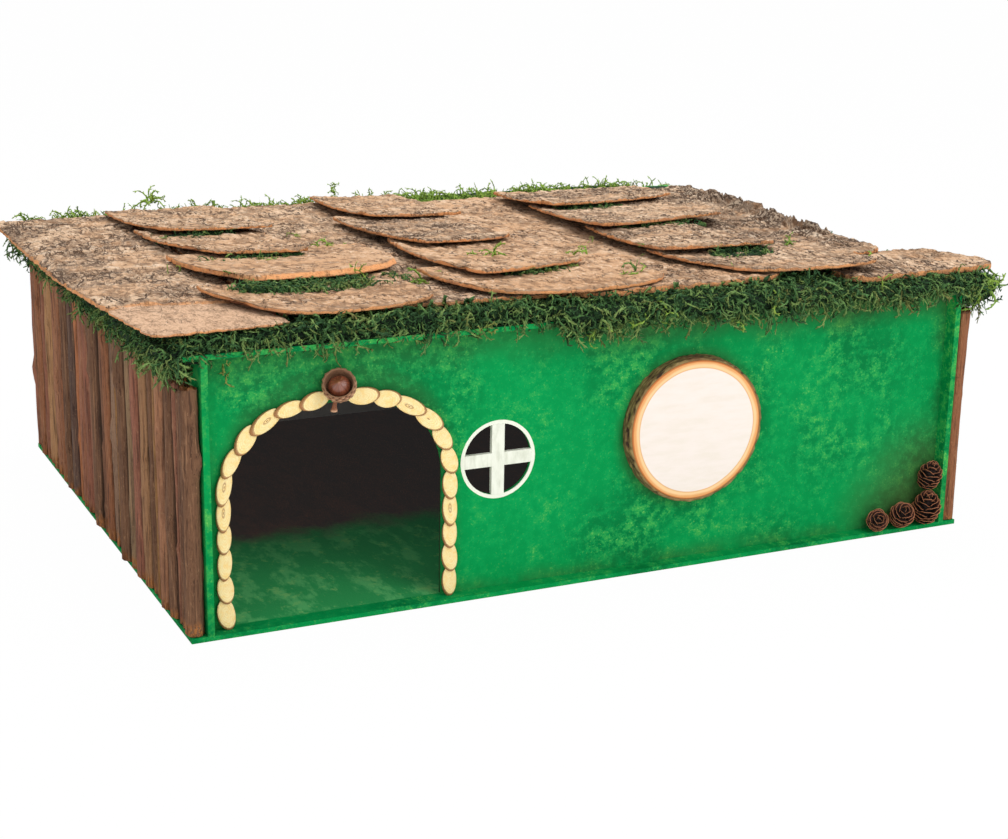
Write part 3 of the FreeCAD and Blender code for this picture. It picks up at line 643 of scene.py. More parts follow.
# for each piece: crack depth, flake height and fine roughness in mm, tone from pale 0 to dark 1,
# how far the torn front edge wanders and how far its left edge sweeps in toward the front
barkPieces = {
    "bark_corner": (1.1, 0.8, 0.35, 0.4, 1.6, 4),
    "bark_sheet_1": (0.9, 0.9, 0.35, 0.45, 1.6, 9),
    "bark_sheet_2": (1.1, 0.8, 0.35, 0.42, 1.4, 0),
    "bark_sheet_3": (1.0, 0.8, 0.35, 0.28, 1.8, 0),
    "bark_sheet_4": (1.5, 1.6, 0.6, 0.7, 1.6, 0),
    "shingle_left_4": (0.5, 0.4, 0.2, 0.25, 0.8, 12),
    "shingle_middle_4": (0.8, 0.5, 0.3, 0.22, 0.9, 8),
    "shingle_right_4": (0.8, 0.6, 0.3, 0.4, 0.9, 14),
    "shingle_left_3": (0.4, 0.3, 0.2, 0.2, 0.5, 18),
    "shingle_middle_3": (1.1, 0.7, 0.3, 0.25, 0.9, 22),
    "shingle_right_3": (1.2, 0.9, 0.4, 0.5, 1.0, 16),
    "shingle_left_2": (1.2, 1.0, 0.3, 0.28, 1.4, 22),
    "shingle_middle_2": (1.0, 0.8, 0.4, 0.48, 1.0, 20),
    "shingle_right_2": (0.9, 0.7, 0.3, 0.35, 0.8, 12),
    "shingle_left_1": (1.1, 1.1, 0.4, 0.32, 1.2, 18),
    "shingle_middle_1": (1.0, 0.9, 0.4, 0.3, 1.0, 18),
    "shingle_right_1": (1.1, 1.0, 0.4, 0.45, 1.0, 12),
}


def barkForm(node):
    # the sheet as rows of points from its rear to its front: x, y, underside and top
    shape = merged(node)
    points = np.array([tuple(v.co) for v in shape.verts]) / mm
    shape.free()
    spots = []
    for x, y, z in points:
        for spot in spots:
            if abs(spot[0] - x) < 0.03 and abs(spot[1] - y) < 0.03:
                spot[2], spot[3] = min(spot[2], z), max(spot[3], z)
                break
        else:
            spots.append([x, y, z, z])
    spots.sort(key=lambda spot: -spot[1])
    count = len(spots) // 4
    return np.array([sorted(spots[k * count:(k + 1) * count]) for k in range(4)])


def blur(field, times):
    for _ in range(times):
        padded = np.pad(field, 1, mode="edge")
        field = (padded[1:-1, 1:-1] * 2 + padded[:-2, 1:-1] + padded[2:, 1:-1]
                 + padded[1:-1, :-2] + padded[1:-1, 2:]) / 6
    return field


def barkSheet(node, seed):
    # the sheet's points in rows from its rear to its torn front edge: x, y and the heights of the
    # packed sheet's underside and top there; then the front edge's y
    wander, sweep = barkPieces[node][4:]
    rear, ahead, third, front = barkForm(node)
    width, length = rear[-1, 0] - rear[0, 0], rear[0, 1] - front[:, 1].min()
    pitch = barkLook["longPitch"] if length > barkLook["long"] else barkLook["pitch"]
    columns, rows = int(width / pitch) + 1, int(length / pitch) + 1
    shares = (rear[:, 0] - rear[0, 0]) / width
    share = np.linspace(0, 1, columns)
    run = np.linspace(0, 1, rows)[:, None]
    backY, midY = rear[0, 1], third[0, 1]
    slope = [(third[side, 0] - rear[side, 0]) / (midY - backY) for side in (0, -1)]
    frontShares = []
    for x, y, _, _ in front:
        left, right = (rear[side, 0] + slope[side] * (y - backY) for side in (0, -1))
        frontShares.append((x - left) / (right - left))
    packed = np.interp(share, frontShares, front[:, 1])
    edge = packed.copy()
    for _ in range(3):
        edge[1:-1] = (edge[:-2] + 2 * edge[1:-1] + edge[2:]) / 4
    packed = np.maximum(edge, packed)
    jag = np.stack([share * width / 9, np.full(columns, seed * 3.1), np.zeros(columns)], 1)
    edge = packed + wander * (0.75 + 1.3 * np.clip(layers(jag, seed, 5, 0.65), -0.55, 1.3))
    edge = edge + 0.4 * sweep * np.clip(1 - share * width / 20, 0, 1) ** 2
    forward, cut = barkLook["corner"] if node == "bark_corner" else (0, 0)
    edge = edge - forward * share ** 2

    y = backY + (edge - backY) * run
    left = rear[0, 0] + slope[0] * (y - backY)
    right = rear[-1, 0] + slope[1] * (y - backY)
    sides = np.stack([y / 7, np.full_like(y, seed * 1.7), np.zeros_like(y)], -1).reshape(-1, 3)
    tuck = (0.6 + layers(sides, seed + 5, 4, 0.65)).reshape(y.shape).clip(0, 2) * 1.3
    inset = sweep * run ** 2.6
    x = left + inset + (right - left - inset) * share
    x = x - cut * share * (1 - run) ** 1.4
    x = x + tuck * np.clip(1 - (x - left - inset) / 9, 0, 1) - tuck * np.clip(1 - (right - x) / 9, 0, 1)

    def heights(level):
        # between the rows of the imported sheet, softened
        table = [np.interp(share, shares, row[:, level]) for row in (rear, ahead, third)]
        table.append(np.interp(share, frontShares, front[:, level]))
        field = np.zeros_like(y)
        for column in range(columns):
            stops = [packed[column], third[0, 1], ahead[0, 1], backY]
            field[:, column] = np.interp(y[:, column], stops, [row[column] for row in reversed(table)])
        return blur(field, 6)

    return x, y, heights(2), heights(3), edge


def barkRelief(spots, crack, flake, fine, seed):
    # furrows run from front to back like the trunk did; flakes are low steps between them
    warp = np.stack([grain(spots / 14 + offset, seed) for offset in (0, 31, 57)], 1)
    bent = spots + warp * (3.5, 3.0, 0)
    furrow = np.abs(layers(bent / (10, 22, 30), seed + 1, 2, 0.6))
    short = np.abs(layers(bent / (6, 10, 30) + 17, seed + 2, 2, 0.5))
    cracks = np.exp(-(furrow / 0.09) ** 2) + 0.7 * np.exp(-(short / 0.09) ** 2)
    cracks *= ease(layers(spots / (40, 26, 30), seed + 3, 2), -0.55, 0.25)
    steps = layers(bent / (10, 17, 30), seed + 4, 3, 0.6)
    plates = (ease(steps, -0.12, -0.04) + ease(steps, 0.12, 0.18) + ease(steps, 0.34, 0.4)) / 3
    rough = layers(bent / (3.2, 4.6, 9), seed + 6, 3, 0.6)
    rise = flake * (plates - 0.5) + fine * rough - crack * np.clip(cracks, 0, 1)
    return rise, cracks, rough


def barkPeel(spots, rise, cracks):
    # the outer layer has come off in front of a torn line; behind it the bark is folded
    place, lean = barkLook["torn"]
    line = place + (spots[:, 0] + 300) * lean + 5.5 * layers(spots / (26, 60, 9), 77, 5, 0.6)
    peeled = ease(line - spots[:, 1], 0, 1.6)
    torn = (line - spots[:, 1] - 1.2) / (1.6 + 1.5 * np.clip(layers(spots / (9, 9, 9), 5), -0.7, 1))
    for reach, lean, height in barkLook["folds"]:
        wave = 3 * layers(spots / (30, 60, 9), int(reach), 3)
        fold = spots[:, 1] - reach - lean * (spots[:, 0] + 290) + wave
        away = ease(spots[:, 0], -150, -200)
        rise += height * away * np.exp(-np.abs(fold) / 8) * (fold > 0)
        cracks = np.maximum(cracks, 0.9 * away * np.exp(-((fold + 1) / 2.2) ** 2))
    return rise * (1 - 0.65 * peeled) - 1.3 * peeled, cracks, peeled, np.exp(-torn ** 2) * 0.9


def barkRidges(spots, fromRight):
    # crusty ridges: their height and how much darker they are
    reach, width, height = barkLook["ridge"]
    ridge = np.exp(-((fromRight - reach) / width) ** 2)
    ridge *= ease(spots[:, 1], -110, -60) * ease(spots[:, 1], 190, 90)
    lumps = layers(spots / (12, 16, 30), 91, 4, 0.65)
    steps = 0.6 * ease(lumps, -0.1, 0.05) + 0.5 * ease(lumps, 0.25, 0.4) + 0.4 * np.clip(lumps, -0.5, 1)
    return height * ridge * steps, 0.7 * np.clip(1.6 * ridge * ease(lumps, -0.3, 0.1), 0, 1)


def barkShell(top, under, number, seed):
    # top and underside, with two rows of points round the rim that bulge and chip
    loop = np.concatenate([number[0, :-1], number[:-1, -1], number[-1, :0:-1], number[:0:-1, 0]])
    quads = np.stack([number[:-1, :-1], number[1:, :-1], number[1:, 1:], number[:-1, 1:]], -1).reshape(-1, 4)
    rim = top[loop]
    heading = np.roll(rim, -1, 0) - np.roll(rim, 1, 0)
    outward = np.stack([-heading[:, 1], heading[:, 0], np.zeros(len(loop))], 1)
    outward /= np.linalg.norm(outward, axis=1)[:, None] + 1e-9
    bands = []
    for level, bulge in ((0.3, 0.45), (0.7, 0.4)):
        chips = layers(np.concatenate([rim[:, :2] / 2.2, rim[:, 2:] * 0 + level * 9], 1), seed + 9, 2)
        push = outward * (bulge * (0.3 + chips))[:, None]
        bands.append(rim * (1 - level) + under[loop] * level + push)
    count, size = number.size, len(loop)
    faces = [tuple(q) for q in quads] + [tuple(q[::-1] + count) for q in quads]
    rings = [loop, np.arange(size) + 2 * count, np.arange(size) + 2 * count + size, loop + count]
    for above, below in zip(rings, rings[1:]):
        for index in range(size):
            after = (index + 1) % size
            faces.append((above[index], above[after], below[after], below[index]))
    # 0 on top, 0.5 underneath, 1 on the rim
    cut = np.repeat([0, 0.5, 1], (len(quads), len(quads), 3 * size))
    return np.concatenate([top, under, *bands]), faces, cut


def barkPiece(node, seed):
    crack, flake, fine, tone, _, _ = barkPieces[node]
    x, y, low, high, edge = barkSheet(node, seed)
    spots = np.stack([x, y, np.full_like(x, seed * 11.0)], -1).reshape(-1, 3)
    rise, cracks, rough = barkRelief(spots, crack, flake, fine, seed)
    peeled, bare, tones = np.zeros(len(spots)), np.zeros(len(spots)), np.full(len(spots), tone)
    if node == "bark_sheet_1":
        rise, cracks, peeled, bare = barkPeel(spots, rise, cracks)
    toFront = (y - edge).reshape(-1)
    if node == "shingle_left_3":
        # its front edge is a clean slant
        wide = np.tile(ease(np.linspace(0, 1, x.shape[1]), 0.08, 0.2), len(x))
        slant = ease(toFront, 5.5 * wide + 0.01, 0.0)
        rise = rise * (1 - slant) - 2.2 * slant
        bare = np.maximum(bare, ease(slant, 0.02, 0.2))
    toSide = np.minimum(x - x[:, :1], x[:, -1:] - x).reshape(-1)
    rim = np.minimum(np.minimum(toFront, toSide), (y[:1] - y).reshape(-1))
    rise = np.minimum(rise - 0.5 * np.clip(1 - rim / 1.4, 0, 1) ** 2, 1.3)
    if node == "bark_sheet_4":
        ridges, darker = barkRidges(spots, (x[:, -1:] - x).reshape(-1))
        rise, tones = rise + ridges, tones + darker
    high = np.maximum(high + rise.reshape(x.shape), low + 0.9)
    low = low + 0.15 + 0.15 * rough.reshape(x.shape)

    top = np.stack([x, y, high], -1).reshape(-1, 3)
    under = np.stack([x, y, low], -1).reshape(-1, 3)
    points, faces, cut = barkShell(top, under, np.arange(x.size).reshape(x.shape), seed)
    piece = place(node.replace("_", "-"), points * mm, faces, barkPaint)
    # relief also sets the painted shade in the bark's low furrows and the painted highlight on its raised
    # flakes
    relief = 0.5 + 0.5 * np.clip(rise / (0.5 * flake + fine + 0.1), -1, 1)
    relief = relief - 0.45 * np.clip(cracks, 0, 1) * (1 - peeled)
    # the values on top, and the one that the other points have
    marks = {"relief": (relief, 0.4), "bare": (bare, 0.0), "peeled": (peeled, 0.0), "tone": (tones, tone)}
    for label, (values, other) in marks.items():
        mark(piece, label, np.concatenate([values, np.full(len(points) - len(spots), other)]))
    mark(piece, "cut", cut, "FACE")
    return hold(piece, "roof", "bark", node)


def barkMaterial():
    paint = Paint("furrowedBark")
    relief, bare, cut = paint.attribute("relief"), paint.attribute("bare"), paint.attribute("cut")
    peeled, tone = paint.attribute("peeled"), paint.attribute("tone")
    fine = paint.noise(620.0, paint.stretch((1.0, 0.5, 1)), detail=5.0, rough=0.72)
    cloud = paint.noise(17.0, paint.stretch((0.7, 1.2, 1)), detail=3.0)
    patch = paint.noise(62.0, paint.stretch((1.0, 0.6, 1)), detail=4.0, rough=0.6)
    streak = paint.noise(190.0, paint.stretch((1.0, 0.4, 0.5)), detail=5.0, rough=0.7, warp=0.6)
    # cracks: a net of plates and long lines, both broken up
    bent = paint.plus(paint.at, paint.scaled(paint.noise(60.0, rough=0.5, out="Color"), 0.0045))
    net = paint.add("ShaderNodeTexVoronoi", {"feature": "DISTANCE_TO_EDGE"}, out="Distance",
                    Vector=paint.stretch((92.0, 46.0, 60.0), bent), Scale=1.0)
    small = paint.add("ShaderNodeTexVoronoi", {"feature": "DISTANCE_TO_EDGE"}, out="Distance",
                      Vector=paint.stretch((230.0, 120.0, 90.0), bent), Scale=1.0)
    lines = abs(paint.noise(1.0, paint.stretch((150.0, 44.0, 60.0), bent), detail=3.0, rough=0.6) - 0.5)
    crust = paint.band(cloud * 0.9 + tone * 0.75 + patch * 0.25, 0.86, 1.1)
    rough = paint.band(tone, 0.16, 0.36) * 0.1
    there = paint.band(patch + crust * 0.1 + rough, 0.6, 0.67)
    cracks = paint.band(net, 0.05, 0.02) * there
    somewhere = paint.band(streak + crust * 0.08 + rough, 0.58, 0.64)
    cracks = paint.most(cracks, paint.band(lines, 0.02, 0.008) * somewhere)
    somewhere = paint.band(fine * 0.6 + patch + crust * 0.08 + rough, 1.0, 1.06)
    cracks = paint.most(cracks, paint.band(small, 0.08, 0.03) * somewhere)
    slits = abs(paint.noise(1.0, paint.stretch((100.0, 150.0, 60.0), bent), detail=3.0, rough=0.65) - 0.5)
    somewhere = paint.band(cloud * 0.5 + streak + rough, 0.83, 0.89)
    cracks = paint.most(cracks, paint.band(slits, 0.03, 0.01) * somewhere)
    # calm patches have fewer cracks and flakes; the crusty ones are dark
    calm = paint.band(paint.noise(26.0, paint.stretch((0.7, 1.3, 1)), detail=2.0), 0.5, 0.6)
    cracks = cracks * (1 - calm * 0.55)
    crusty = paint.band(tone, 0.9, 1.3)
    # painted highlight: pale rims along the crack net
    crackRimHighlight = paint.band(net, 0.2, 0.1) * there
    flecks = paint.noise(1.0, paint.stretch((360.0, 190.0, 300.0), bent), detail=3.0, rough=0.65)
    # painted shade where the relief is low, in the furrows
    furrows = paint.band(relief, 0.34, 0.06)
    colour = paint.mix(paint.band(cloud * 0.5 + patch * 0.7 + streak * 0.3, 0.6, 0.92),
                       barkLook["pale"], barkLook["mid"])
    colour = paint.mix(paint.band(streak + patch * 0.3, 0.5, 0.85) * 0.6, colour, barkLook["tan"])
    colour = paint.mix(paint.band(fine + streak * 0.4, 0.62, 0.82) * 0.55, colour, barkLook["crust"])
    colour = paint.mix(paint.band(tone, 0.34, 0.24) * 0.45, colour, barkLook["tan"])
    colour = paint.mix(crust * (paint.band(tone, 0.5, 0.7) * 0.25 + 0.4), colour, barkLook["crust"])
    colour = paint.mix(calm * 0.4, colour, barkLook["tan"])
    colour = paint.mix(crusty * (paint.band(patch, 0.42, 0.56) * 0.35 + 0.45), colour, barkLook["dark"])
    # painted highlight where the relief is high, on the raised flakes
    high = paint.band(relief + (fine - 0.5) * 0.8, 0.6, 0.92) * (0.5 - calm * 0.2 - crusty * 0.35)
    colour = paint.mix(high, colour, barkLook["flake"])
    pale = paint.band(flecks, 0.43, 0.36) * (0.5 - calm * 0.25 - crusty * 0.2)
    colour = paint.mix(paint.most(pale, crackRimHighlight * 0.25), colour, barkLook["flake"])
    colour = paint.mix(paint.band(flecks, 0.57, 0.65) * (crust * 0.4 + 0.14) * (1 - calm * 0.5), colour,
                       barkLook["dark"])
    smooth = paint.mix(paint.band(fine + streak * 0.3, 0.56, 0.86),
                       barkLook["smooth"], barkLook["smoothDark"])
    smooth = paint.mix(paint.band(patch, 0.55, 0.7) * 0.2, smooth, barkLook["smoothPatch"])
    colour = paint.mix(peeled * 0.9, colour, smooth)
    # the cracks' own dark, with the painted shade in the furrows
    dark = paint.most(cracks * 0.9, furrows * 0.45)
    colour = paint.mix(dark * (1 - peeled * 0.75), colour, barkLook["dark"])
    torn = paint.ramp(fine * 0.5 + streak * 0.5, (0.25, barkLook["innerDark"]), (0.5, barkLook["inner"]),
                      (0.72, barkLook["innerPale"]))
    colour = paint.mix(bare, colour, torn)
    side = paint.band(cut, 0.7, 0.9)
    torn = paint.mix(paint.band(paint.noise(75.0, detail=3.0), 0.48, 0.6) * 0.75, torn, barkLook["oldEdge"])
    specks = paint.band(paint.noise(330.0, paint.stretch((1.6, 0.6, 0.4))), 0.66, 0.72) * 0.7
    colour = paint.mix(side, colour, paint.mix(specks, torn, barkLook["speck"]))
    under = paint.band(cut, 0.2, 0.4) * (1 - side)
    colour = paint.mix(under, colour, paint.mix(streak, barkLook["underside"], barkLook["innerDark"]))
    height = fine * 0.5 + streak * 0.5 - cracks * 0.9
    return paint.finish(colour, 0.92, height, 0.002, Specular_IOR_Level=0.2)


barkPaint = barkMaterial()
barkDone = {name: barkPiece(name, seed + 1) for seed, name in enumerate(barkPieces)}
print("bark is laid:", sum(len(piece.data.polygons) for piece in barkDone.values()), "faces")


# Branches along both sides

branchLook = {
    "sides": 18,
    "rings": 36,
    "bow": 0.0012,            # how far a branch wanders, in metres
    "bump": 0.0026,
    "knot": 0.002,
    "shares": (0.98, 0.97),   # its depth and width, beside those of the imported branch
    "tones": [tint(158, 114, 68), tint(190, 142, 98), tint(160, 102, 80), tint(124, 88, 64),
              tint(190, 116, 74), tint(152, 124, 90), tint(164, 124, 116)],
    "darkOne": (0.064, 0.081),   # a dark grey branch between these depths
    "grey": tint(78, 72, 68),
    "sunny": tint(180, 134, 92),
    "blotch": tint(84, 54, 38),
    "streak": tint(66, 40, 28),
    "pore": tint(60, 38, 28),
    "dust": tint(192, 152, 112),
    "darkFibre": tint(52, 32, 26),
    "paleFibre": tint(196, 150, 112),
    "ring": tint(170, 134, 98),
    "chip": tint(214, 156, 100),
    "tip": tint(196, 128, 72),
    "darkTip": tint(120, 74, 44),
    # painted shade for the gaps between neighbouring branches
    "gap": tint(30, 20, 14),
    "foot": (0.027, 0.021),   # heights under which its bark is torn
}


def branchUnit():
    # a closed upright rod, 1 wide and 1 tall, with its end marked
    sides, rings = branchLook["sides"], branchLook["rings"]
    heights = np.concatenate([[0, 0.004], np.linspace(0.03, 0.97, rings - 5), [0.985, 0.996, 1]])
    sizes = np.concatenate([[0.42, 0.5], np.full(rings - 5, 0.5), [0.49, 0.46, 0.36]])
    turn = 2 * np.pi * np.arange(sides) / sides
    points = [(s * math.cos(t), s * math.sin(t), h) for h, s in zip(heights, sizes) for t in turn]
    faces = wall(rings, sides)
    foot, last = len(points), (rings - 1) * sides
    points += [(0, 0, 0), (0, 0, 1.0)]
    for side in range(sides):
        after = (side + 1) % sides
        faces += [(foot, after, side), (foot + 1, last + side, last + after)]
    unit = place("branchUnit", points, faces)
    mark(unit, "tip", [1.0 if p[2] > 0.99 else 0.0 for p in points])
    # where a rod's sides face its neighbours, for the painted shade there
    mark(unit, "gap", [min(1, abs(p[1]) * 2) if p[2] < 0.94 else 0.0 for p in points])
    return unit


def branchRecipe():
    tree = Recipe("branchRow", Branch="object", Bow=0.001, Bump=0.001, Knot=0.001, Seed=0)
    spots = tree.add("GeometryNodeMeshToPoints", None, tree.base)
    size = tree.vector(tree.named("deep"), tree.named("wide"), tree.named("tall"))
    rods = tree.add("GeometryNodeInstanceOnPoints", None, Points=spots, Instance=tree.unit("Branch"),
                    Scale=size)
    rods = tree.add("GeometryNodeRealizeInstances", None, rods)
    chance = tree.named("chance") * 40 + tree.given("Seed")
    x, y, z = tree.axes()
    # each bows its own way, with ripples along it, knots and a ragged top
    drift = tree.vector(chance, z * 16)
    bowX = tree.noise(1.0, drift, detail=1.0, rough=0.5) - 0.5
    bowY = tree.noise(1.3, drift, detail=2.0, rough=0.5) - 0.5
    rods = tree.moved(rods, tree.vector(bowX * tree.given("Bow"), bowY * tree.given("Bow") * 3))
    ripple = tree.noise(1.0, tree.vector(x * 330 + chance, y * 330, z * 12), detail=4.0, rough=0.5) - 0.5
    lump = tree.noise(1.0, tree.vector(x * 60 + chance, y * 60, z * 34), detail=2.0, rough=0.5)
    swell = ripple * tree.given("Bump") + tree.band(lump, 0.6, 0.74) * tree.given("Knot")
    rods = tree.moved(rods, tree.scaled(tree.add("GeometryNodeInputNormal"), swell))
    torn = tree.noise(420.0, detail=3.0, rough=0.5)
    rods = tree.moved(rods, tree.vector(z=(torn - 0.62) * tree.named("tip") * 0.018))
    tree.close(rods, branchPaint())
    return tree


def branchPaint():
    paint = Paint("youngBark")
    look = branchLook
    chance, tip = paint.attribute("chance"), paint.attribute("tip")
    stops = [((k + 0.5) / len(look["tones"]), tone) for k, tone in enumerate(look["tones"])]
    drawn = paint.noise(3.7, paint.vector(chance * 31), detail=0.0) * 2.4 - 0.7
    colour = paint.ramp(drawn, *stops)
    _, y, z = paint.axes()
    front, rear = look["darkOne"]
    grey = paint.band(y, front - 0.0005, front + 0.0005) * paint.band(y, rear + 0.0005, rear - 0.0005)
    colour = paint.mix(grey * 0.85, colour, look["grey"])
    streak = paint.noise(300.0, paint.stretch((1, 1, 0.06)), detail=5.0, rough=0.7)
    fibre = paint.noise(620.0, paint.stretch((1, 1, 0.03)), detail=3.0, rough=0.75)
    blotch = paint.noise(60.0, paint.stretch((1, 1, 0.35)), detail=4.0)
    rings = paint.noise(300.0, paint.stretch((0.3, 0.3, 1.2)), detail=2.0)
    pores = paint.noise(520.0, paint.stretch((1, 1, 0.5)), detail=4.0, rough=0.7)
    chips = paint.noise(120.0, paint.stretch((1, 1, 0.5)), detail=2.0)
    for share, name in (
            (paint.band(streak, 0.55, 0.75) * 0.3, "sunny"), (paint.band(blotch, 0.52, 0.7) * 0.45, "blotch"),
            (paint.band(streak, 0.42, 0.3) * 0.5, "streak"), (paint.band(pores, 0.55, 0.7) * 0.45, "pore"),
            (paint.band(pores, 0.42, 0.3) * 0.4, "dust"), (paint.band(fibre, 0.45, 0.38) * 0.6, "darkFibre"),
            (paint.band(fibre, 0.57, 0.66) * 0.4, "paleFibre"), (paint.band(rings, 0.68, 0.78) * 0.2, "ring"),
            (paint.band(chips, 0.76, 0.8) * 0.7, "chip")):
        colour = paint.mix(share, colour, look[name])
    torn = paint.mix(paint.band(streak, 0.4, 0.6), look["tip"], look["darkTip"])
    foot = paint.band(z + blotch * 0.03, *look["foot"]) * paint.band(pores, 0.4, 0.5)
    colour = paint.mix(paint.most(tip, foot), colour, torn)
    # painted shade on the sides of a branch that face its neighbours
    gap = paint.attribute("gap") + (streak - 0.5) * 0.15
    colour = paint.mix(paint.band(gap, 0.74, 0.96) * paint.attribute("inner") * 0.9, colour, look["gap"])
    height = streak + blotch * 0.4 + pores * 0.5 + fibre
    return paint.finish(colour, 0.85, height, 0.0024, Specular_IOR_Level=0.25)


branchRow = branchRecipe()
unitBranch = branchUnit()
for side, node in enumerate(("left_branches", "right_branches")):
    parts = sorted(islands(node), key=lambda part: part[:, 1].mean())
    low = [part[part[:, 2] < part[:, 2].mean()] for part in parts]
    feet = [(part[:, 0].mean(), part[:, 1].mean(), part[:, 2].min()) for part in low]
    base = place(node + "Feet", feet, [])
    for axis, label in enumerate(("deep", "wide")):
        mark(base, label, [np.ptp(part[:, axis]) * branchLook["shares"][axis] for part in low])
    mark(base, "tall", [part[:, 2].max() - foot[2] for part, foot in zip(parts, feet)])
    mark(base, "chance", [(index * goldenShare + 0.37 * side) % 1 for index in range(len(parts))])
    # the painted shade in the gaps stays off beside the first and the last branch
    mark(base, "inner", [0] + [1] * (len(parts) - 2) + [0])
    row = branchRow.grow(base, node.replace("_", "-"), Branch=unitBranch, Bow=branchLook["bow"],
                         Bump=branchLook["bump"], Knot=branchLook["knot"], Seed=3 + side)
    row.data.shade_smooth()
    hold(row, "house", "branch", node)
bpy.data.objects.remove(unitBranch)
print("branches stand")


# Door trim: oval slices of a branch, overlapped down the arch

trimLook = {
    "length": 19.0, "width": 10.2, "thick": 2.4, "sides": 26,
    "slant": 0.1,             # share of its length that the bark shows past a slice's lower end
    "uneven": 0.24,           # how much the slices differ in size and turn
    "cream": tint(254, 222, 146), "pale": tint(255, 236, 176), "grain": tint(236, 186, 104),
    "rim": tint(190, 134, 84), "darkRim": tint(140, 92, 56), "pith": tint(142, 80, 48),
}


def sliceUnit():
    # one oval slice with rounded edges; spot is its place from the middle, 0 to 1
    sides = trimLook["sides"]
    rings = [(0.0, 0.0), (0.25, 0.0), (0.5, 0.0), (0.75, 0.0), (0.9, 0.02), (0.97, 0.12), (1.0, 0.35),
             (1.0, 0.75), (0.96, 1.0), (0.0, 1.0)]
    points, spots, tops = [], [], []
    for reach, depth in rings:
        for side in range(sides):
            turn = 2 * math.pi * side / sides
            size = reach * (1 + 0.03 * math.sin(2 * turn + 1) + 0.02 * math.sin(3 * turn))
            slant = trimLook["slant"] * depth
            points.append((size * math.cos(turn) / 2 + slant, size * math.sin(turn) / 2, -depth))
            spots.append((reach * math.cos(turn), reach * math.sin(turn)))
            tops.append(min(1, depth * 3))
    faces = wall(len(rings), sides, inward=True)
    unit = place("sliceUnit", points, faces)
    mark(unit, "spotX", [s[0] for s in spots])
    mark(unit, "spotY", [s[1] for s in spots])
    mark(unit, "side", tops)
    weld = bmesh.new()
    weld.from_mesh(unit.data)
    bmesh.ops.remove_doubles(weld, verts=weld.verts, dist=1e-5)
    weld.to_mesh(unit.data)
    weld.free()
    unit.data.shade_smooth()
    return unit


def slicePaint():
    paint = Paint("sliceWood")
    u, v, chance = paint.attribute("spotX"), paint.attribute("spotY"), paint.attribute("chance")
    spot = paint.vector(u * 10.2, v * 5.2, chance * 57)
    fine = paint.noise(2.2, spot, detail=4.0)
    broad = paint.noise(0.32, spot, detail=2.0)
    reach = (u ** 2 + v ** 2) ** 0.5
    rings = ((reach * 5.2 + fine * 0.9) * 7.0).sine() * 0.5 + 0.5
    colour = paint.mix(paint.band(broad + fine * 0.3, 0.5, 0.85), trimLook["pale"], trimLook["cream"])
    colour = paint.mix(rings * 0.3, colour, trimLook["grain"])
    # one slice in three shows its pith, and one in six a dark ring round it
    pith = ((u * 1.5 - 0.05) ** 2 + (v * 1.9 + (chance - 0.5) * 0.3) ** 2) ** 0.5
    heart = paint.band(pith + fine * 0.2, 0.62, 0.44) * paint.band(pith + fine * 0.2, 0.3, 0.42)
    dot = paint.band(pith + fine * 0.15, 0.26, 0.14) * paint.band(chance, 0.62, 0.66)
    heart = paint.most(heart * paint.band(chance, 0.84, 0.86) * 0.8, dot)
    colour = paint.mix(heart * 0.8, colour, trimLook["pith"])
    worn = paint.band(reach + fine * 0.12, 0.97, 1.03)
    edge = paint.most(worn * 0.8, paint.band(paint.attribute("side"), 0.35, 0.8))
    colour = paint.mix(edge, colour, paint.mix(fine, trimLook["rim"], trimLook["darkRim"]))
    return paint.finish(colour, 0.62, fine * 0.5 + rings * 0.3, 0.0003)


def trimRecipe():
    tree = Recipe("sliceTrim", Slice="object", Length=0.02, Width=0.01, Thick=0.002, Uneven=0.1, Seed=0)
    spots = tree.add("GeometryNodeMeshToPoints", None, tree.base)
    uneven = tree.given("Uneven")
    chance, other = tree.chance(), tree.chance(5)
    spots = tree.stored(spots, "chance", chance)
    size = tree.vector(tree.given("Length") * (1 + (chance - 0.5) * uneven),
                       tree.given("Width") * (1 + (other - 0.5) * uneven), tree.given("Thick"))
    lean = tree.rotation(tree.named("turnX"), tree.named("turnY"), tree.named("turnZ"))
    lean = tree.turned(lean, tree.rotation(z=(other - 0.5) * uneven * 1.2))
    slices = tree.add("GeometryNodeInstanceOnPoints", None, Points=spots, Instance=tree.unit("Slice"),
                      Rotation=lean, Scale=size)
    tree.close(slices, slicePaint())
    return tree


trimRow = trimRecipe()
unitSlice = sliceUnit()
for side, node in enumerate(("door_trim_left", "door_trim_right")):
    parts = sorted(islands(node), key=lambda part: -part[:, 2].mean())
    feet, turns = [], []
    for part in parts:
        middle = part.mean(0)
        # a slice's length and thickness are its longest and shortest spread; it runs down and faces out
        spread = np.linalg.svd(part - middle)[2]
        along, out = Vector(spread[0]), Vector(spread[2])
        along = along if along.z < 0 or abs(along.z) < 0.05 and along.x * (side * 2 - 1) > 0 else -along
        out = out if out.y < 0 else -out
        across = out.cross(along)
        turn = Matrix((along, across, out)).transposed().to_euler("XYZ")
        feet.append(Vector(middle) + out * trimLook["thick"] / 2 * mm)
        turns.append(turn)
    base = place(node + "Spots", feet, [])
    for axis, label in enumerate(("turnX", "turnY", "turnZ")):
        mark(base, label, [turn[axis] for turn in turns])
    trim = trimRow.grow(base, node.replace("_", "-"), Slice=unitSlice, Length=trimLook["length"] * mm,
                        Width=trimLook["width"] * mm, Thick=trimLook["thick"] * mm,
                        Uneven=trimLook["uneven"], Seed=8 + side)
    hold(trim, "house", "slice_wood", node)
bpy.data.objects.remove(unitSlice)
print("trim is glued on")


# Cones in the corner

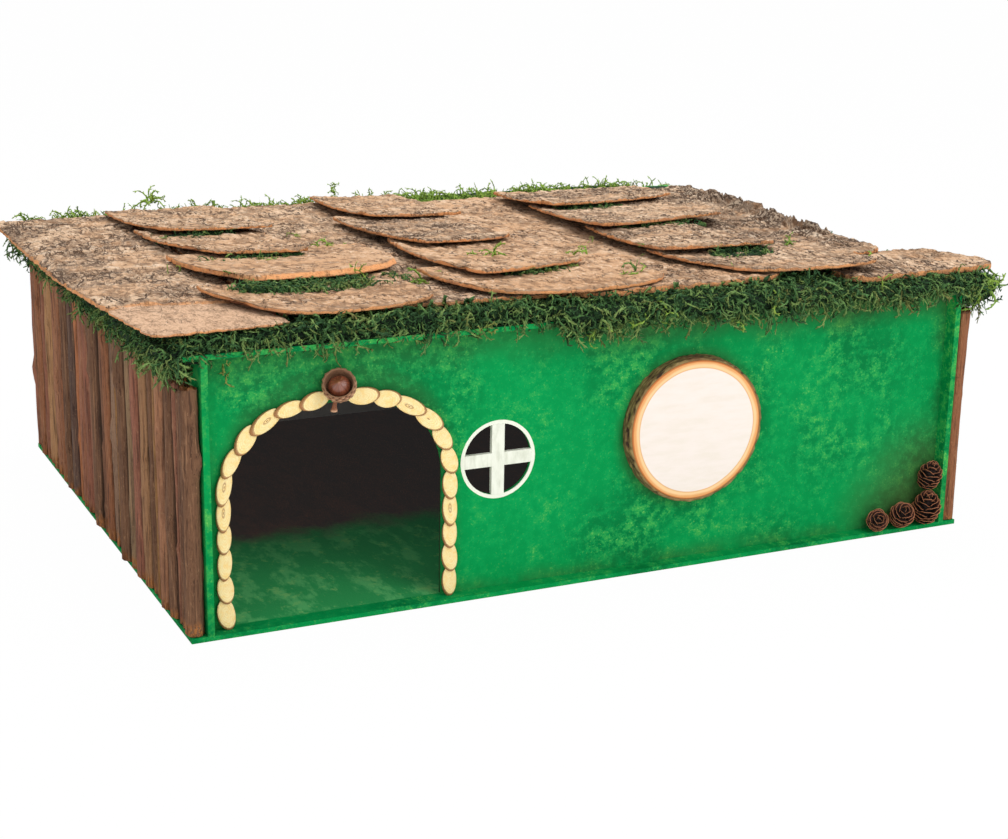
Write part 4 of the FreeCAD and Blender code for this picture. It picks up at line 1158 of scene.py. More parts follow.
coneLook = {
    "arc": 0.62,              # half the arc that a scale spans, in radians
    "lift": 20.0,             # how far a scale near the middle stands up, in degrees
    "turn": 77.0,             # from one scale to the next, in degrees
    "coreSides": 12,
    "coreRings": 8,
    # for each cone: radius and length in mm, where it points, scales
    "sizes": {
        "cone_1": (8.2, 18.0, (-0.38, -0.80, 0.46), 32),
        "cone_2": (9.3, 21.0, (-0.25, -0.72, 0.65), 36),
        "cone_3": (10.6, 24.0, (-0.12, -0.36, 0.93), 44),
        "cone_4": (8.8, 20.5, (0.02, -0.36, 0.93), 38),
    },
    # dark is painted shade on the scales near the core, deep among them
    "dark": tint(30, 15, 12), "brown": tint(78, 42, 32), "rim": tint(192, 122, 82),
}


def scaleUnit():
    # a thin cupped scale that spans an arc round the core and reaches 1; rim marks its outer edge
    rows = [(0.3, 0.7), (0.6, 0.85), (0.82, 0.95), (0.94, 1.0), (1.0, 0.97)]
    steps = [k / 3 for k in range(-3, 4)]
    points, rims, faces = [], [], []
    for level in (0, 1):
        for reach, spread in rows:
            for step in steps:
                turn = step * spread * coneLook["arc"]
                out = reach * (1 - 0.13 * reach * step ** 4 + 0.03 * math.cos(5 * step))
                cup = 0.3 * max(0, reach - 0.45) - 0.1 * reach * step ** 2 + 0.02 * math.sin(7 * step)
                thick = 0.05 * (1.2 - reach) + 0.02
                points.append((out * math.cos(turn), out * math.sin(turn), cup - level * thick))
                rims.append(reach)
    wide, count = len(steps), len(rows) * len(steps)
    for row in range(len(rows) - 1):
        for col in range(wide - 1):
            a = row * wide + col
            faces.append((a, a + wide, a + wide + 1, a + 1))
            faces.append((a + count, a + 1 + count, a + wide + 1 + count, a + wide + count))
    loop = list(range(wide)) + [r * wide + wide - 1 for r in range(1, len(rows))]
    loop += [count - 1 - k for k in range(1, wide)] + [r * wide for r in range(len(rows) - 2, 0, -1)]
    for a, b in zip(loop, loop[1:] + loop[:1]):
        faces.append((a, b, b + count, a + count))
    unit = place("scaleUnit", points, faces)
    mark(unit, "rim", rims)
    return unit


def conePaint():
    paint = Paint("coneScale")
    rim = paint.attribute("rim")
    fine = paint.noise(900.0, detail=4.0, rough=0.7)
    # painted shade: near black toward the core, then brown, with paler rims
    colour = paint.mix(paint.band(rim + (fine - 0.5) * 0.3, 0.6, 0.92), coneLook["dark"], coneLook["brown"])
    colour = paint.mix(paint.band(rim + (fine - 0.5) * 0.1, 0.92, 1.0), colour, coneLook["rim"])
    return paint.finish(colour, 0.7, fine, 0.0004)


def coneRecipe():
    tree = Recipe("coneScales", Scale="object", Count=40, Radius=0.01, Length=0.02, Lift=20.0, Turn=77.0,
                  Seed=0)
    line = tree.add("GeometryNodeMeshLine", None, Count=tree.given("Count"))
    index = tree.add("GeometryNodeInputIndex")
    share = index / (tree.given("Count") - 1)
    chance = tree.chance()
    height = tree.given("Length") * (share * 0.88 - 0.5)
    spots = tree.add("GeometryNodeSetPosition", None, Geometry=line, Position=tree.vector(z=height))
    # the scales spread like the cone's outline and stand up more toward its tip
    outline = ((share * 0.74 + 0.18) * math.pi).sine() ** 0.8 * 0.8 + 0.22
    size = tree.given("Radius") * outline * (chance * 0.1 + 0.93)
    degree = math.pi / 180
    lift = tree.given("Lift") * (share * 0.6 + 0.5 + share ** 5 * 2.6) * (chance * 0.2 + 0.9) * -degree
    turn = index * tree.given("Turn") * degree + (chance - 0.5) * 0.2
    scales = tree.add("GeometryNodeInstanceOnPoints", None, Points=spots, Instance=tree.unit("Scale"),
                      Rotation=tree.rotation(0.0, lift, turn), Scale=tree.vector(size, size, size))
    tree.close(tree.withBase(scales), conePaint())
    return tree


def coneCore(radius, length):
    profile = []
    for share in np.linspace(0, 0.96, coneLook["coreRings"]):
        outline = 0.30 + 0.72 * math.sin(math.pi * (0.18 + 0.74 * share)) ** 0.8
        profile.append((0.44 * radius * outline * (1 - 0.8 * share ** 5), length * (share - 0.5)))
    return place("coneCore", *turned(profile, coneLook["coreSides"]))


spiral = coneRecipe()
unitScale = scaleUnit()
for seed, (node, (radius, length, lean, scales)) in enumerate(coneLook["sizes"].items()):
    piece = spiral.grow(coneCore(radius * mm, length * mm), node.replace("_", "-"), Scale=unitScale,
                        Count=scales, Radius=radius * mm, Length=length * mm, Lift=coneLook["lift"],
                        Turn=coneLook["turn"], Seed=seed)
    piece.data.transform(Vector(lean).to_track_quat("Z", "Y").to_matrix().to_4x4())
    low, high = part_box(node)
    points = np.array([tuple(v.co) for v in piece.data.vertices])
    shift = (low + high) / 2 - Vector((points.min(0) + points.max(0)) / 2)
    piece.data.transform(Matrix.Translation(shift))
    piece.data.shade_smooth()
    hold(piece, "house", "cone", node)
bpy.data.objects.remove(unitScale)
print("cones are stacked")


# Acorn over the door

acorn = {
    # sizes and places in mm
    "seat": (-181.7, -208.2, 146.2), "tilt": (-0.33, -0.72, 0.61),
    "radius": 10.0, "height": 11.0, "wall": 1.5, "nutRadius": 6.9, "nutHeight": 10.4,
    "stalkRadius": 1.7, "stalkLength": 12.5,
    "sides": 60,
    "scales": 15,          # round the cup
    "scaleHeight": 2.6,    # rings of points to a row of scales
    "cup": tint(138, 90, 60), "cupPale": tint(214, 168, 134), "cupDark": tint(60, 36, 26),
    "cupInside": tint(138, 100, 72), "stalk": tint(168, 112, 76), "stalkDark": tint(112, 58, 42),
    "stalkEnd": tint(222, 176, 140),
    "nut": tint(140, 78, 54), "nutDark": tint(96, 48, 32), "nutTip": tint(150, 96, 60),
}


def smoothProfile(stops, count):
    stops = np.array(stops, float)
    run = np.concatenate([[0], np.cumsum(np.linalg.norm(np.diff(stops, axis=0), axis=1))])
    dense = np.linspace(0, run[-1], count)
    line = np.stack([np.interp(dense, run, stops[:, k]) for k in (0, 1)], 1)
    for _ in range(6):
        line[1:-1] = (line[:-2] + 2 * line[1:-1] + line[2:]) / 4
    return line


def acornPieces():
    radius, height, thick = acorn["radius"], acorn["height"], acorn["wall"]
    along = Vector(acorn["tilt"]).normalized()
    base = Vector(acorn["seat"]) - along * height * 0.55
    stand = Matrix.Translation(base * mm) @ along.to_track_quat("Z", "Y").to_matrix().to_4x4()

    outer = smoothProfile([(0.05, 0), (0.3 * radius, 0), (0.66 * radius, 0.09 * height),
                           (0.94 * radius, 0.34 * height), (radius, 0.68 * height),
                           (0.95 * radius, height)], 26)
    lip = [(0.93 * radius, height + 0.2), (0.87 * radius, height + 0.1)]
    inner = smoothProfile([(0.95 * radius - 0.75 * thick, height - 0.4), (radius - thick, 0.68 * height),
                           (0.8 * radius - 0.5 * thick, 0.2 * height + 0.6 * thick), (0.5 * radius, thick),
                           (0.05, thick)], 14)
    profile = [tuple(p) for p in outer] + lip + [tuple(p) for p in inner]
    sides = acorn["sides"]
    points, faces = turned(profile, sides)
    # rows of small overlapping scales on the outside
    ring = np.repeat(np.arange(len(profile)), sides)
    side = np.tile(np.arange(sides), len(profile))
    outside = ring < len(outer)
    rowNumber = ring / acorn["scaleHeight"]
    stagger = side / sides * acorn["scales"] + 0.5 * np.floor(rowNumber)
    bump = np.abs(np.sin(np.pi * stagger)) ** 0.6 * (1 - (rowNumber % 1)) ** 0.5
    push = np.where(outside, (bump - 0.45) * 1.1, 0) * ease(ring, 0, 5)
    push = push + np.where(outside, 0.3, 0.1) * layers(points / 1.6, 5, 2)
    away = points * (1, 1, 0)
    away /= np.linalg.norm(away, axis=1)[:, None] + 1e-6
    points = points + away * push[:, None]
    level = np.where(outside, bump, 0.35)
    inside = np.where(outside, 0, 1)

    # a bent stalk that starts in the closed end
    start, rings, corners = len(points), 13, 12
    turn = stand.inverted()
    stops = [base - Vector((0, 0, 0.35 * thick)),
             base + Vector((-0.28, 0.02, -0.42)) * acorn["stalkLength"],
             base + Vector((-0.34, -0.08, -0.98)) * acorn["stalkLength"]]
    stem = []
    for step in range(rings):
        t = step / (rings - 1)
        spot = stops[0] * (1 - t) ** 2 + stops[1] * 2 * t * (1 - t) + stops[2] * t * t
        size = acorn["stalkRadius"] * (1.1 - 0.4 * math.sin(math.pi * t) + 0.15 * (t > 0.9))
        for corner in range(corners):
            angle = 2 * math.pi * corner / corners
            spin = spot + Vector((math.cos(angle) * size, math.sin(angle) * size * 0.9, 0))
            stem.append(turn @ (spin * mm) / mm)
    stem = np.array([tuple(p) for p in stem])
    stem = stem + 0.16 * np.stack([layers(stem / 1.5 + k, 9, 2) for k in (0, 20, 40)], 1)
    faces += wall(rings, corners, start, inward=True)
    end = start + (rings - 1) * corners
    faces += [tuple(range(start, start + corners)), tuple(range(end, end + corners))[::-1]]
    cup = place("acorn-cup", np.concatenate([points, stem]) * mm, faces, acornPaint())
    mark(cup, "level", np.concatenate([level, np.full(len(stem), 0.6)]))
    mark(cup, "inside", np.concatenate([inside, np.zeros(len(stem))]))
    stalk = np.zeros(len(points) + len(stem))
    stalk[len(points):] = np.repeat(np.linspace(0.3, 1, rings), corners)
    mark(cup, "stalk", stalk)
    cup.data.transform(stand)
    hold(cup, "house", "acorn_cup", "acorn_cup")

    size, tall, foot = acorn["nutRadius"], acorn["nutHeight"], thick + 0.2
    profile = smoothProfile([(0.05, foot), (0.5 * size, foot), (0.93 * size, foot + 0.28 * tall),
                             (size, foot + 0.5 * tall), (0.72 * size, foot + 0.8 * tall),
                             (0.22 * size, foot + 0.95 * tall), (0.14 * size, foot + 1.0 * tall),
                             (0.03, foot + 1.05 * tall)], 30)
    sides = 40
    points, faces = turned([tuple(p) for p in profile], sides)
    nut = place("acorn-nut", points * mm, faces, nutPaint())
    mark(nut, "up", (points[:, 2] - foot) / (1.05 * tall))
    mark(nut, "round", np.tile(np.arange(sides) / sides, len(profile)))
    nut.data.transform(stand)
    hold(nut, "house", "acorn_nut", "acorn_nut")


def acornPaint():
    paint = Paint("acornCup")
    level, inside, stalk = paint.attribute("level"), paint.attribute("inside"), paint.attribute("stalk")
    fine = paint.noise(1100.0, detail=4.0, rough=0.7)
    colour = paint.ramp(level + (fine - 0.5) * 0.7, (0.05, acorn["cupDark"]), (0.45, acorn["cup"]),
                        (0.95, acorn["cupPale"]))
    colour = paint.mix(inside, colour, acorn["cupInside"])
    wood = paint.mix(fine, acorn["stalkDark"], acorn["stalk"])
    colour = paint.mix(paint.band(stalk, 0.05, 0.25), colour, wood)
    colour = paint.mix(paint.band(stalk, 0.9, 1.0) * 0.8, colour, acorn["stalkEnd"])
    return paint.finish(colour, 0.8, fine, 0.0004)


def nutPaint():
    paint = Paint("acornNut")
    up, turn = paint.attribute("up"), paint.attribute("round")
    streak = paint.noise(1.0, paint.vector(turn * 40, up * 2))
    colour = paint.mix(paint.band(streak, 0.35, 0.7), acorn["nut"], acorn["nutDark"])
    colour = paint.mix(paint.band(up, 0.9, 1.0) * 0.7, colour, acorn["nutTip"])
    return paint.finish(colour, 0.3, streak, 0.0001, Coat_Weight=0.3, Coat_Roughness=0.2)


acornPieces()
print("acorn is in place")


# Sign: a slice of a branch with a painted face

sign = {
    "middle": (61.7, 92.4), "panel": -200.0, "radius": 46.8, "thick": 9.0,   # mm
    "wobble": 0.012,       # how far it is out of round, as a share of its radius
    "rim": 0.03,           # mm that its edge waves in depth
    "bark": 2.2,           # mm
    "sides": 132,
    "barkRings": 16,       # rings of points over the bark's depth
    "knot": 1.02,          # where the bark bulges, in half turns from the right, and by how much in mm
    "knotHeight": 2.2,
    "paint": tint(244, 232, 224), "paintShade": tint(238, 226, 214),
    "wood": tint(238, 174, 106), "woodDark": tint(222, 142, 72),
    "sapwood": tint(250, 210, 156), "line": tint(204, 118, 56),
    "crust": (tint(58, 38, 24), tint(116, 92, 52), tint(158, 134, 84)), "crustPatch": tint(104, 58, 40),
}


def signEdge(turn, radius):
    wave = np.cos(2 * turn + 0.6) + 0.7 * np.cos(3 * turn - 1.1)
    return radius * (1 + sign["wobble"] * wave)


def signPoint(angle, reach, y):
    return sign["middle"][0] + reach * math.cos(angle), y, sign["middle"][1] + reach * math.sin(angle)


def signPieces():
    sides = sign["sides"]
    turn = 2 * np.pi * np.arange(sides) / sides
    edge = signEdge(turn, sign["radius"])
    panel, thick = sign["panel"], sign["thick"]
    front = panel - thick
    # rings of the face out to its rounded edge and back to the panel: share of the radius, depth
    rings = [(k / 14, 0.0) for k in range(1, 14)] + [(0.975, 0.0), (0.99, 0.12), (0.998, 0.5), (0.998, thick)]
    points, ringValues = [signPoint(0, 0, front)], [0.0]
    for share, depth in rings:
        for angle, reach in zip(turn, edge):
            wave = sign["rim"] * math.sin(5 * angle) * (share > 0.9)
            points.append(signPoint(angle, share * reach, front + depth + wave))
            ringValues.append(share if depth == 0 else 1.0)
    faces = [(0, 1 + side, 1 + (side + 1) % sides) for side in range(sides)]
    faces += wall(len(rings), sides, 1, inward=True)
    last = 1 + (len(rings) - 1) * sides
    faces.append(tuple(range(last, last + sides))[::-1])
    face = place("name-slice", np.array(points) * mm, faces, signPaint())
    mark(face, "ring", ringValues)
    hold(face, "house", "sign_wood", "name_slice")

    # bark skin: thicker here and there, with a bulge at the left
    steps = sign["barkRings"]
    depth = np.linspace(0, 1, steps)
    points, crust = [], []
    spots = np.array([(math.cos(t) * 9, math.sin(t) * 9, d * 4.2) for d in depth for t in turn])
    rough = layers(spots, 21, 4, 0.6).reshape(steps, sides)
    cracks = np.exp(-(layers(spots * (1, 1, 0.4), 33, 2).reshape(steps, sides) / 0.08) ** 2)
    knot = np.exp(-(((turn - math.pi * sign["knot"]) + np.pi) % (2 * np.pi) - np.pi) ** 2 / 0.02)
    for row in range(steps):
        bulge = knot * math.exp(-(depth[row] - 0.55) ** 2 / 0.06) * sign["knotHeight"]
        reach = edge + sign["bark"] * (1.0 - 0.28 * depth[row] ** 2)
        reach = reach + 0.5 * rough[row] - 0.7 * cracks[row] + bulge
        reach = np.maximum(reach, edge + 0.5)
        y = panel - 0.1 - depth[row] * (thick - 0.9)
        points += [signPoint(angle, r, y) for angle, r in zip(turn, reach)]
        crust.append(0.5 + 0.4 * rough[row] - 0.4 * cracks[row])
    # its inner side lies on the wood
    for y in (front + 0.45, panel - 0.1):
        points += [signPoint(angle, r + 0.05, y) for angle, r in zip(turn, edge)]
        crust.append(np.full(sides, 0.75))
    faces = wall(steps + 2, sides)
    for side in range(sides):
        low, after = (steps + 1) * sides, (side + 1) % sides
        faces.append((low + side, low + after, after, side))
    skin = place("name-slice-bark", np.array(points) * mm, faces, signBarkPaint())
    mark(skin, "crust", np.concatenate(crust))
    hold(skin, "house", "slice_bark", "name_slice_bark")


def signPaint():
    paint = Paint("signFace")
    ring = paint.attribute("ring")
    fine = paint.noise(700.0, detail=4.0)
    brush = paint.noise(160.0, paint.stretch((0.35, 1, 1.4)), detail=4.0)
    wave = paint.noise(45.0, detail=2.0)
    ring = ring + (wave - 0.5) * 0.012
    yearRings = (ring * 420.0).sine() * 0.5 + 0.5
    wood = paint.mix(yearRings * 0.3 + fine * 0.3, sign["wood"], sign["woodDark"])
    wood = paint.mix(paint.band(ring + (wave - 0.5) * 0.05, 0.965, 0.925) * 0.9, wood, sign["sapwood"])
    wood = paint.mix(paint.band(ring, 0.972, 0.992), wood, sign["line"])
    painted = paint.mix(paint.band(brush, 0.3, 0.8), sign["paint"], sign["paintShade"])
    colour = paint.mix(paint.band(ring, 0.912, 0.897) * 0.4, wood, sign["line"])
    colour = paint.mix(paint.band(ring, 0.893, 0.886), colour, painted)
    return paint.finish(colour, 0.6, brush + fine * 0.4, 0.0002)


def signBarkPaint():
    paint = Paint("sliceBark")
    crust = paint.attribute("crust")
    fine = paint.noise(500.0, detail=5.0, rough=0.7)
    patch = paint.noise(40.0, detail=3.0)
    colour = paint.ramp(crust + (fine - 0.5) * 0.5, *zip((0.15, 0.45, 0.8), sign["crust"]))
    colour = paint.mix(paint.band(patch, 0.5, 0.65) * 0.6, colour, sign["crustPatch"])
    return paint.finish(colour, 0.9, fine, 0.0008)


signPieces()
print("sign is up")


# Moss

mossLook = {
    "strands": {               # for each shape: turn per step, steps, side shoots, shoot length
        "feather": (0.5, 5, 6, 0.26),
        "curl": (0.95, 6, 4, 0.2),
        "hook": (0.7, 5, 5, 0.28),
        "wisp": (0.45, 4, 4, 0.22),
    },
    "stem": 0.056,             # radii for a strand 1 long
    "shoot": 0.05,
    "crinkle": 3.5,            # mm
    "halves": {"moss_front": 20.0},   # pieces made as two, and where they part in mm
    "grid": 5.5,               # mm between the points of the mat under the strands
    "press": 0.4,              # mm left under the bark
    # mm, each with a little room: the lid's half width, half depth, underside and top; the walls'
    # thickness, how far the panel's face lies behind the lid's edge, and where that face is
    "lid": (275.2, 210.2, 169.8, 173.2),
    "wall": 10.0, "setBack": 9.8, "panel": 200.3,
    "bareAt": (-208.5, 173.3),     # y and height that the front roll keeps to where the lid's edge is bare
    "cornerEnd": (-165, -145),     # y between which the right roll gets slimmer, behind the corner piece
    "wisps": 0.93,                 # share of the strands that keep below the bark's front edge
    "colours": ((0.0, tint(32, 54, 34)), (0.26, tint(60, 98, 58)), (0.5, tint(92, 134, 76)),
                (0.74, tint(142, 172, 98)), (0.88, tint(118, 124, 72)), (1.0, tint(150, 126, 86))),
    "fresh": tint(164, 200, 84),
    # mat: painted shade, the near black-green of the sheet under the strands
    "mat": (tint(10, 24, 14), tint(52, 86, 44)),
}
# for each piece: strands per square metre, shortest and longest in mm, how much they follow the
# surface's normal, stray, rise and droop, how clumped they are, how fresh, and the bark that presses them
mossPieces = {
    "moss_front": (165000, 8, 18, 0.3, 1.0, 0.0, 0.12, 0.2, 0.0, None),
    "moss_left": (140000, 8, 17, 0.3, 1.0, -0.1, 0.25, 0.7, -0.05, None),
    "moss_right": (140000, 7, 15, 0.3, 1.0, -0.15, 0.25, 0.5, -0.05, None),
    "moss_back": (150000, 8, 15, 0.3, 0.9, 0.35, 0.02, 0.85, 0.5, None),
    "moss_pad_left_3": (230000, 9, 17, 0.7, 1.0, 0.1, 0.1, 0.1, 0.0, "shingle_left_3"),
    "moss_pad_middle_3": (220000, 8, 14, 0.7, 1.0, 0.1, 0.1, 0.1, 0.15, "shingle_middle_3"),
    "moss_pad_right_3": (200000, 7, 13, 0.7, 1.0, 0.05, 0.1, 0.1, -0.1, "shingle_right_3"),
    "moss_pad_left_2": (200000, 7, 13, 0.7, 1.0, 0.05, 0.1, 0.2, 0.05, "shingle_left_2"),
    "moss_pad_right_2": (200000, 7, 12, 0.7, 1.0, 0.0, 0.1, 0.2, 0.0, "shingle_right_2"),
    "moss_pad_left_1": (200000, 6, 12, 0.7, 1.0, 0.0, 0.1, 0.3, 0.0, "shingle_left_1"),
    "moss_pad_right_1": (200000, 6, 12, 0.7, 1.0, 0.0, 0.1, 0.2, 0.0, "shingle_right_1"),
}
# the lid's front edge shows between these places, in mm
bareEdge = (-284, -34)
roofReach = 320   # half the width of the table of bark edges, in mm


def strandUnit(shape, seed):
    # a curved stem 1 long with short side shoots; reach runs from its root to its tip
    turn, steps, shoots, length = mossLook["strands"][shape]
    chance = random.Random(seed)
    spots, heads = [Vector((0, 0, 0))], [Vector((0, 0, 1))]
    axis = Vector((1, 0.2, 0)).normalized()
    for _ in range(steps):
        axis = (axis + Vector([chance.uniform(-0.5, 0.5) for _ in range(3)])).normalized()
        heads.append(Matrix.Rotation(turn * chance.uniform(0.5, 1.3), 3, axis) @ heads[-1])
        spots.append(spots[-1] + heads[-1] / steps)
    points, reach = [], []
    for number, (spot, head) in enumerate(zip(spots, heads)):
        side = head.orthogonal().normalized()
        size = mossLook["stem"] * (1 - 0.6 * number / steps)
        for corner in range(3):
            points.append(spot + Matrix.Rotation(thirdTurn * corner, 3, head) @ side * size)
            reach.append(number / steps)
    faces = wall(steps + 1, 3) + [(2, 1, 0), (steps * 3, steps * 3 + 1, steps * 3 + 2)]
    for number in range(shoots):
        along = (number + 0.7) / shoots * (steps - 0.3)
        ring, part = int(along), along % 1
        spot = spots[ring].lerp(spots[ring + 1], part)
        head = heads[min(ring + 1, steps)]
        around = Matrix.Rotation(2.4 * number + chance.uniform(-0.4, 0.4), 3, head)
        side = around @ head.orthogonal().normalized()
        out = (head * chance.uniform(0.4, 0.9) + side).normalized()
        tip = spot + out * length * (1.15 - 0.6 * along / steps) * chance.uniform(0.7, 1.2)
        base = len(points)
        across = out.orthogonal().normalized()
        for corner in range(3):
            points.append(spot + Matrix.Rotation(thirdTurn * corner, 3, out) @ across * mossLook["shoot"])
        points.append(tip)
        reach += [along / steps] * 3 + [min(1, along / steps + 0.2)]
        faces += [(base, base + 1, base + 3), (base + 1, base + 2, base + 3), (base + 2, base, base + 3),
                  (base + 2, base + 1, base)]
    return points, faces, reach


def mossPaint():
    paint = Paint("mossGreen")
    chance, reach, mat = paint.attribute("chance"), paint.attribute("reach"), paint.attribute("mat")
    patch = paint.noise(38.0, detail=2.0)
    fine = paint.noise(900.0, detail=2.0)
    tone = chance * 0.72 + (patch - 0.5) * 0.5 + reach * 0.16 + (fine - 0.5) * 0.2 + 0.05
    fresh = paint.attribute("fresh")
    colour = paint.ramp(tone + fresh * 0.4, *mossLook["colours"])
    colour = paint.mix(paint.band(fresh + (chance - 0.5) * 0.4, 0.1, 0.5) * 0.85, colour, mossLook["fresh"])
    tangle = paint.noise(420.0, detail=3.0, rough=0.7, warp=1.5)
    # the mat under the strands is painted dark, as shade between them
    colour = paint.mix(mat, colour, paint.mix(paint.band(tangle, 0.45, 0.66), *mossLook["mat"]))
    return paint.finish(colour, 0.8, tangle, 0.0012, Specular_IOR_Level=0.15)


def mossRecipe():
    tree = Recipe("mossCover", Strands="collection", Cover="object", Density=100000.0, Shortest=0.01,
                  Longest=0.02, Follow=0.5, Stray=1.0, Rise=0.0, Droop=0.2, Clump=0.3, Press=0.0004,
                  Crinkle=0.003, Seed=0)
    thick = tree.band(tree.noise(42.0, detail=1.0, rough=0.5), 0.42, 0.6)
    share = 1 - tree.given("Clump") * (1 - thick)
    spots = tree.add("GeometryNodeDistributePointsOnFaces", None, Mesh=tree.base,
                     Density=tree.given("Density") * tree.named("grow") * share, Seed=tree.given("Seed"))
    normal = tree.outs(spots, "Normal")
    stray = tree.add("FunctionNodeRandomValue", {"data_type": "FLOAT_VECTOR"}, (-1.0, -1.0, -1.0),
                     (1.0, 1.0, 1.0), Seed=tree.given("Seed") + 1)
    aim = tree.plus(tree.scaled(normal, tree.given("Follow")), tree.scaled(stray, tree.given("Stray")))
    aim = tree.plus(aim, tree.vector(z=tree.given("Rise")))
    turn = tree.add("FunctionNodeAlignRotationToVector", {"axis": "Z"}, Vector=aim)
    turn = tree.turned(turn, tree.rotation(z=tree.chance(2) * fullTurn))
    spots = tree.stored(tree.stored(spots, "chance", tree.chance(3)), "mat", 0.0)
    length = tree.given("Shortest") + (tree.given("Longest") - tree.given("Shortest")) * tree.chance(4) ** 2.2
    shapes = tree.add("GeometryNodeCollectionInfo", None, tree.given("Strands"), True, True)
    strands = tree.add("GeometryNodeInstanceOnPoints", None, Points=spots, Instance=shapes,
                       Pick_Instance=True, Rotation=turn, Scale=tree.vector(length, length, length))
    strands = tree.add("GeometryNodeRealizeInstances", None, strands)
    # toward their tips the strands wander and sink
    wiggle = tree.plus(tree.noise(210.0, detail=1.0, rough=0.5, out="Color"), (-0.5, -0.5, -0.5))
    strands = tree.moved(strands, tree.scaled(wiggle, tree.named("reach") * tree.given("Crinkle")))
    sink = (tree.named("reach") ** 2) * tree.given("Droop") * (tree.named("chance") * 1.4 + 0.2) * -0.02
    both = tree.withBase(tree.moved(strands, tree.vector(z=sink)))

    # nothing stands through the bark that lies on it
    x, y, z = tree.axes()
    under = tree.add("GeometryNodeRaycast", None, Target_Geometry=tree.unit("Cover"),
                     Source_Position=tree.vector(x, y, 0.1), Ray_Direction=(0.0, 0.0, 1.0), Ray_Length=0.2)
    ceiling = tree.outs(under, "Hit Distance") + 0.1 - tree.given("Press")
    pressed = tree.add("GeometryNodeSetPosition", None, Geometry=both, Selection=under,
                       Position=tree.vector(x, y, tree.least(z, ceiling)))
    tree.close(pressed, mossPainted)
    return tree


def treeOf(*names):
    shape = bmesh.new()
    for name in names:
        shape.from_mesh(nodes[name].data)
    tree = BVHTree.FromBMesh(shape)
    shape.free()
    return tree


def shapeMoss(node, cover, spots):
    # in mm: the outlines that the photo shows
    if node == "moss_front":
        # back from the lid's edge where that shows
        left, right = bareEdge
        end = spots[:, 0] + 8 * grain(spots[:, [0, 0, 0]] / 23, 5)
        bare = ease(spots[:, 0], left, left + 8) * ease(end, right, right - 14)
        foremost, lowest = mossLook["bareAt"]
        spots[:, 1] += bare * (np.maximum(spots[:, 1], foremost) - spots[:, 1])
        spots[:, 2] += bare * (np.maximum(spots[:, 2], lowest) - spots[:, 2])
        # its lower edge bulges
        bulge = 7 * grain(spots[:, [0, 0, 0]] / 31, 3) + 3 * grain(spots[:, [0, 0, 0]] / 9, 4)
        spots[:, 2] -= (1 - bare) * np.clip(bulge, -4, 6) * ease(spots[:, 2], 171, 158)
    if cover:
        # lower in front of the shingle that lies on it
        front = barkForm(cover)[3]
        ahead = ease(spots[:, 1] - np.interp(spots[:, 0], front[:, 0], front[:, 1]), 5, 0)
        level = np.interp(spots[:, 0], front[:, 0], front[:, 2]) - 5.5
        spots[:, 2] -= ahead * 0.8 * np.maximum(spots[:, 2] - level, 0)
    if node == "moss_left":
        # higher at the front corner, and thinner outward and downward
        spots[:, 2] += ease(spots[:, 1], -185, -205) * 0.7 * np.maximum(172 - spots[:, 2], 0)
        spots[:, 0] = np.where(spots[:, 0] < -277, -277 + 0.6 * (spots[:, 0] + 277), spots[:, 0])
        spots[:, 2] = np.where(spots[:, 2] < 166, 166 + 0.5 * (spots[:, 2] - 166), spots[:, 2])
    if node == "moss_right":
        rear = ease(spots[:, 1], *mossLook["cornerEnd"])
        spots[:, 0] -= rear * 0.5 * np.maximum(spots[:, 0] - 277, 0)
        spots[:, 2] -= rear * np.maximum(spots[:, 2] - 171, 0)
    if node == "moss_back":
        # low and slim, and lowest at its right end
        spots[:, 2] -= np.maximum(spots[:, 2] - 176 + 6 * ease(spots[:, 0], 215, 240), 0)
        spots[:, 1] -= 0.5 * np.maximum(spots[:, 1] - 213, 0)


def mossMat(node, fresh, cover, half=0):
    # the imported moss with more points, roughened and marked as the mat, which is painted dark as shade
    # under the strands; strands grow where it isn't against a board
    shape = merged(node)
    if half:
        # one side of the place where the piece is parted
        cut = Vector((mossLook["halves"][node] * mm, 0, 0))
        whole = shape.verts[:] + shape.edges[:] + shape.faces[:]
        bmesh.ops.bisect_plane(shape, geom=whole, plane_co=cut, plane_no=(half, 0, 0), clear_outer=True)
        bmesh.ops.holes_fill(shape, edges=[edge for edge in shape.edges if edge.is_boundary])
    for _ in range(4):
        long = [edge for edge in shape.edges if edge.calc_length() > mossLook["grid"] * mm]
        if long:
            bmesh.ops.subdivide_edges(shape, edges=long, cuts=1, use_grid_fill=True)
    bmesh.ops.triangulate(shape, faces=shape.faces)
    shape.normal_update()
    spots = np.array([tuple(v.co) for v in shape.verts]) / mm
    rough = layers(spots / 7, 41, 3, 0.6)
    shapeMoss(node, cover, spots)
    for vertex, spot, lump in zip(shape.verts, spots, rough):
        inward = vertex.normal * (0.9 * lump - 0.9)
        vertex.co = (Vector(spot) + inward) * mm
    shape.normal_update()
    grow = []
    for face in shape.faces:
        hit = solidTree.ray_cast(face.calc_center_median() + face.normal * 0.2 * mm, face.normal, 1.3 * mm)
        grow.append(0.0 if hit[0] else 1.0)
    mesh = bpy.data.meshes.new(node)
    shape.to_mesh(mesh)
    shape.free()
    mesh.shade_smooth()
    mat = bpy.data.objects.new(node, mesh)
    scene.collection.objects.link(mat)
    mark(mat, "grow", grow, "FACE")
    mark(mat, "mat", np.ones(len(mesh.vertices)))
    mark(mat, "fresh", np.full(len(mesh.vertices), fresh))
    return mat


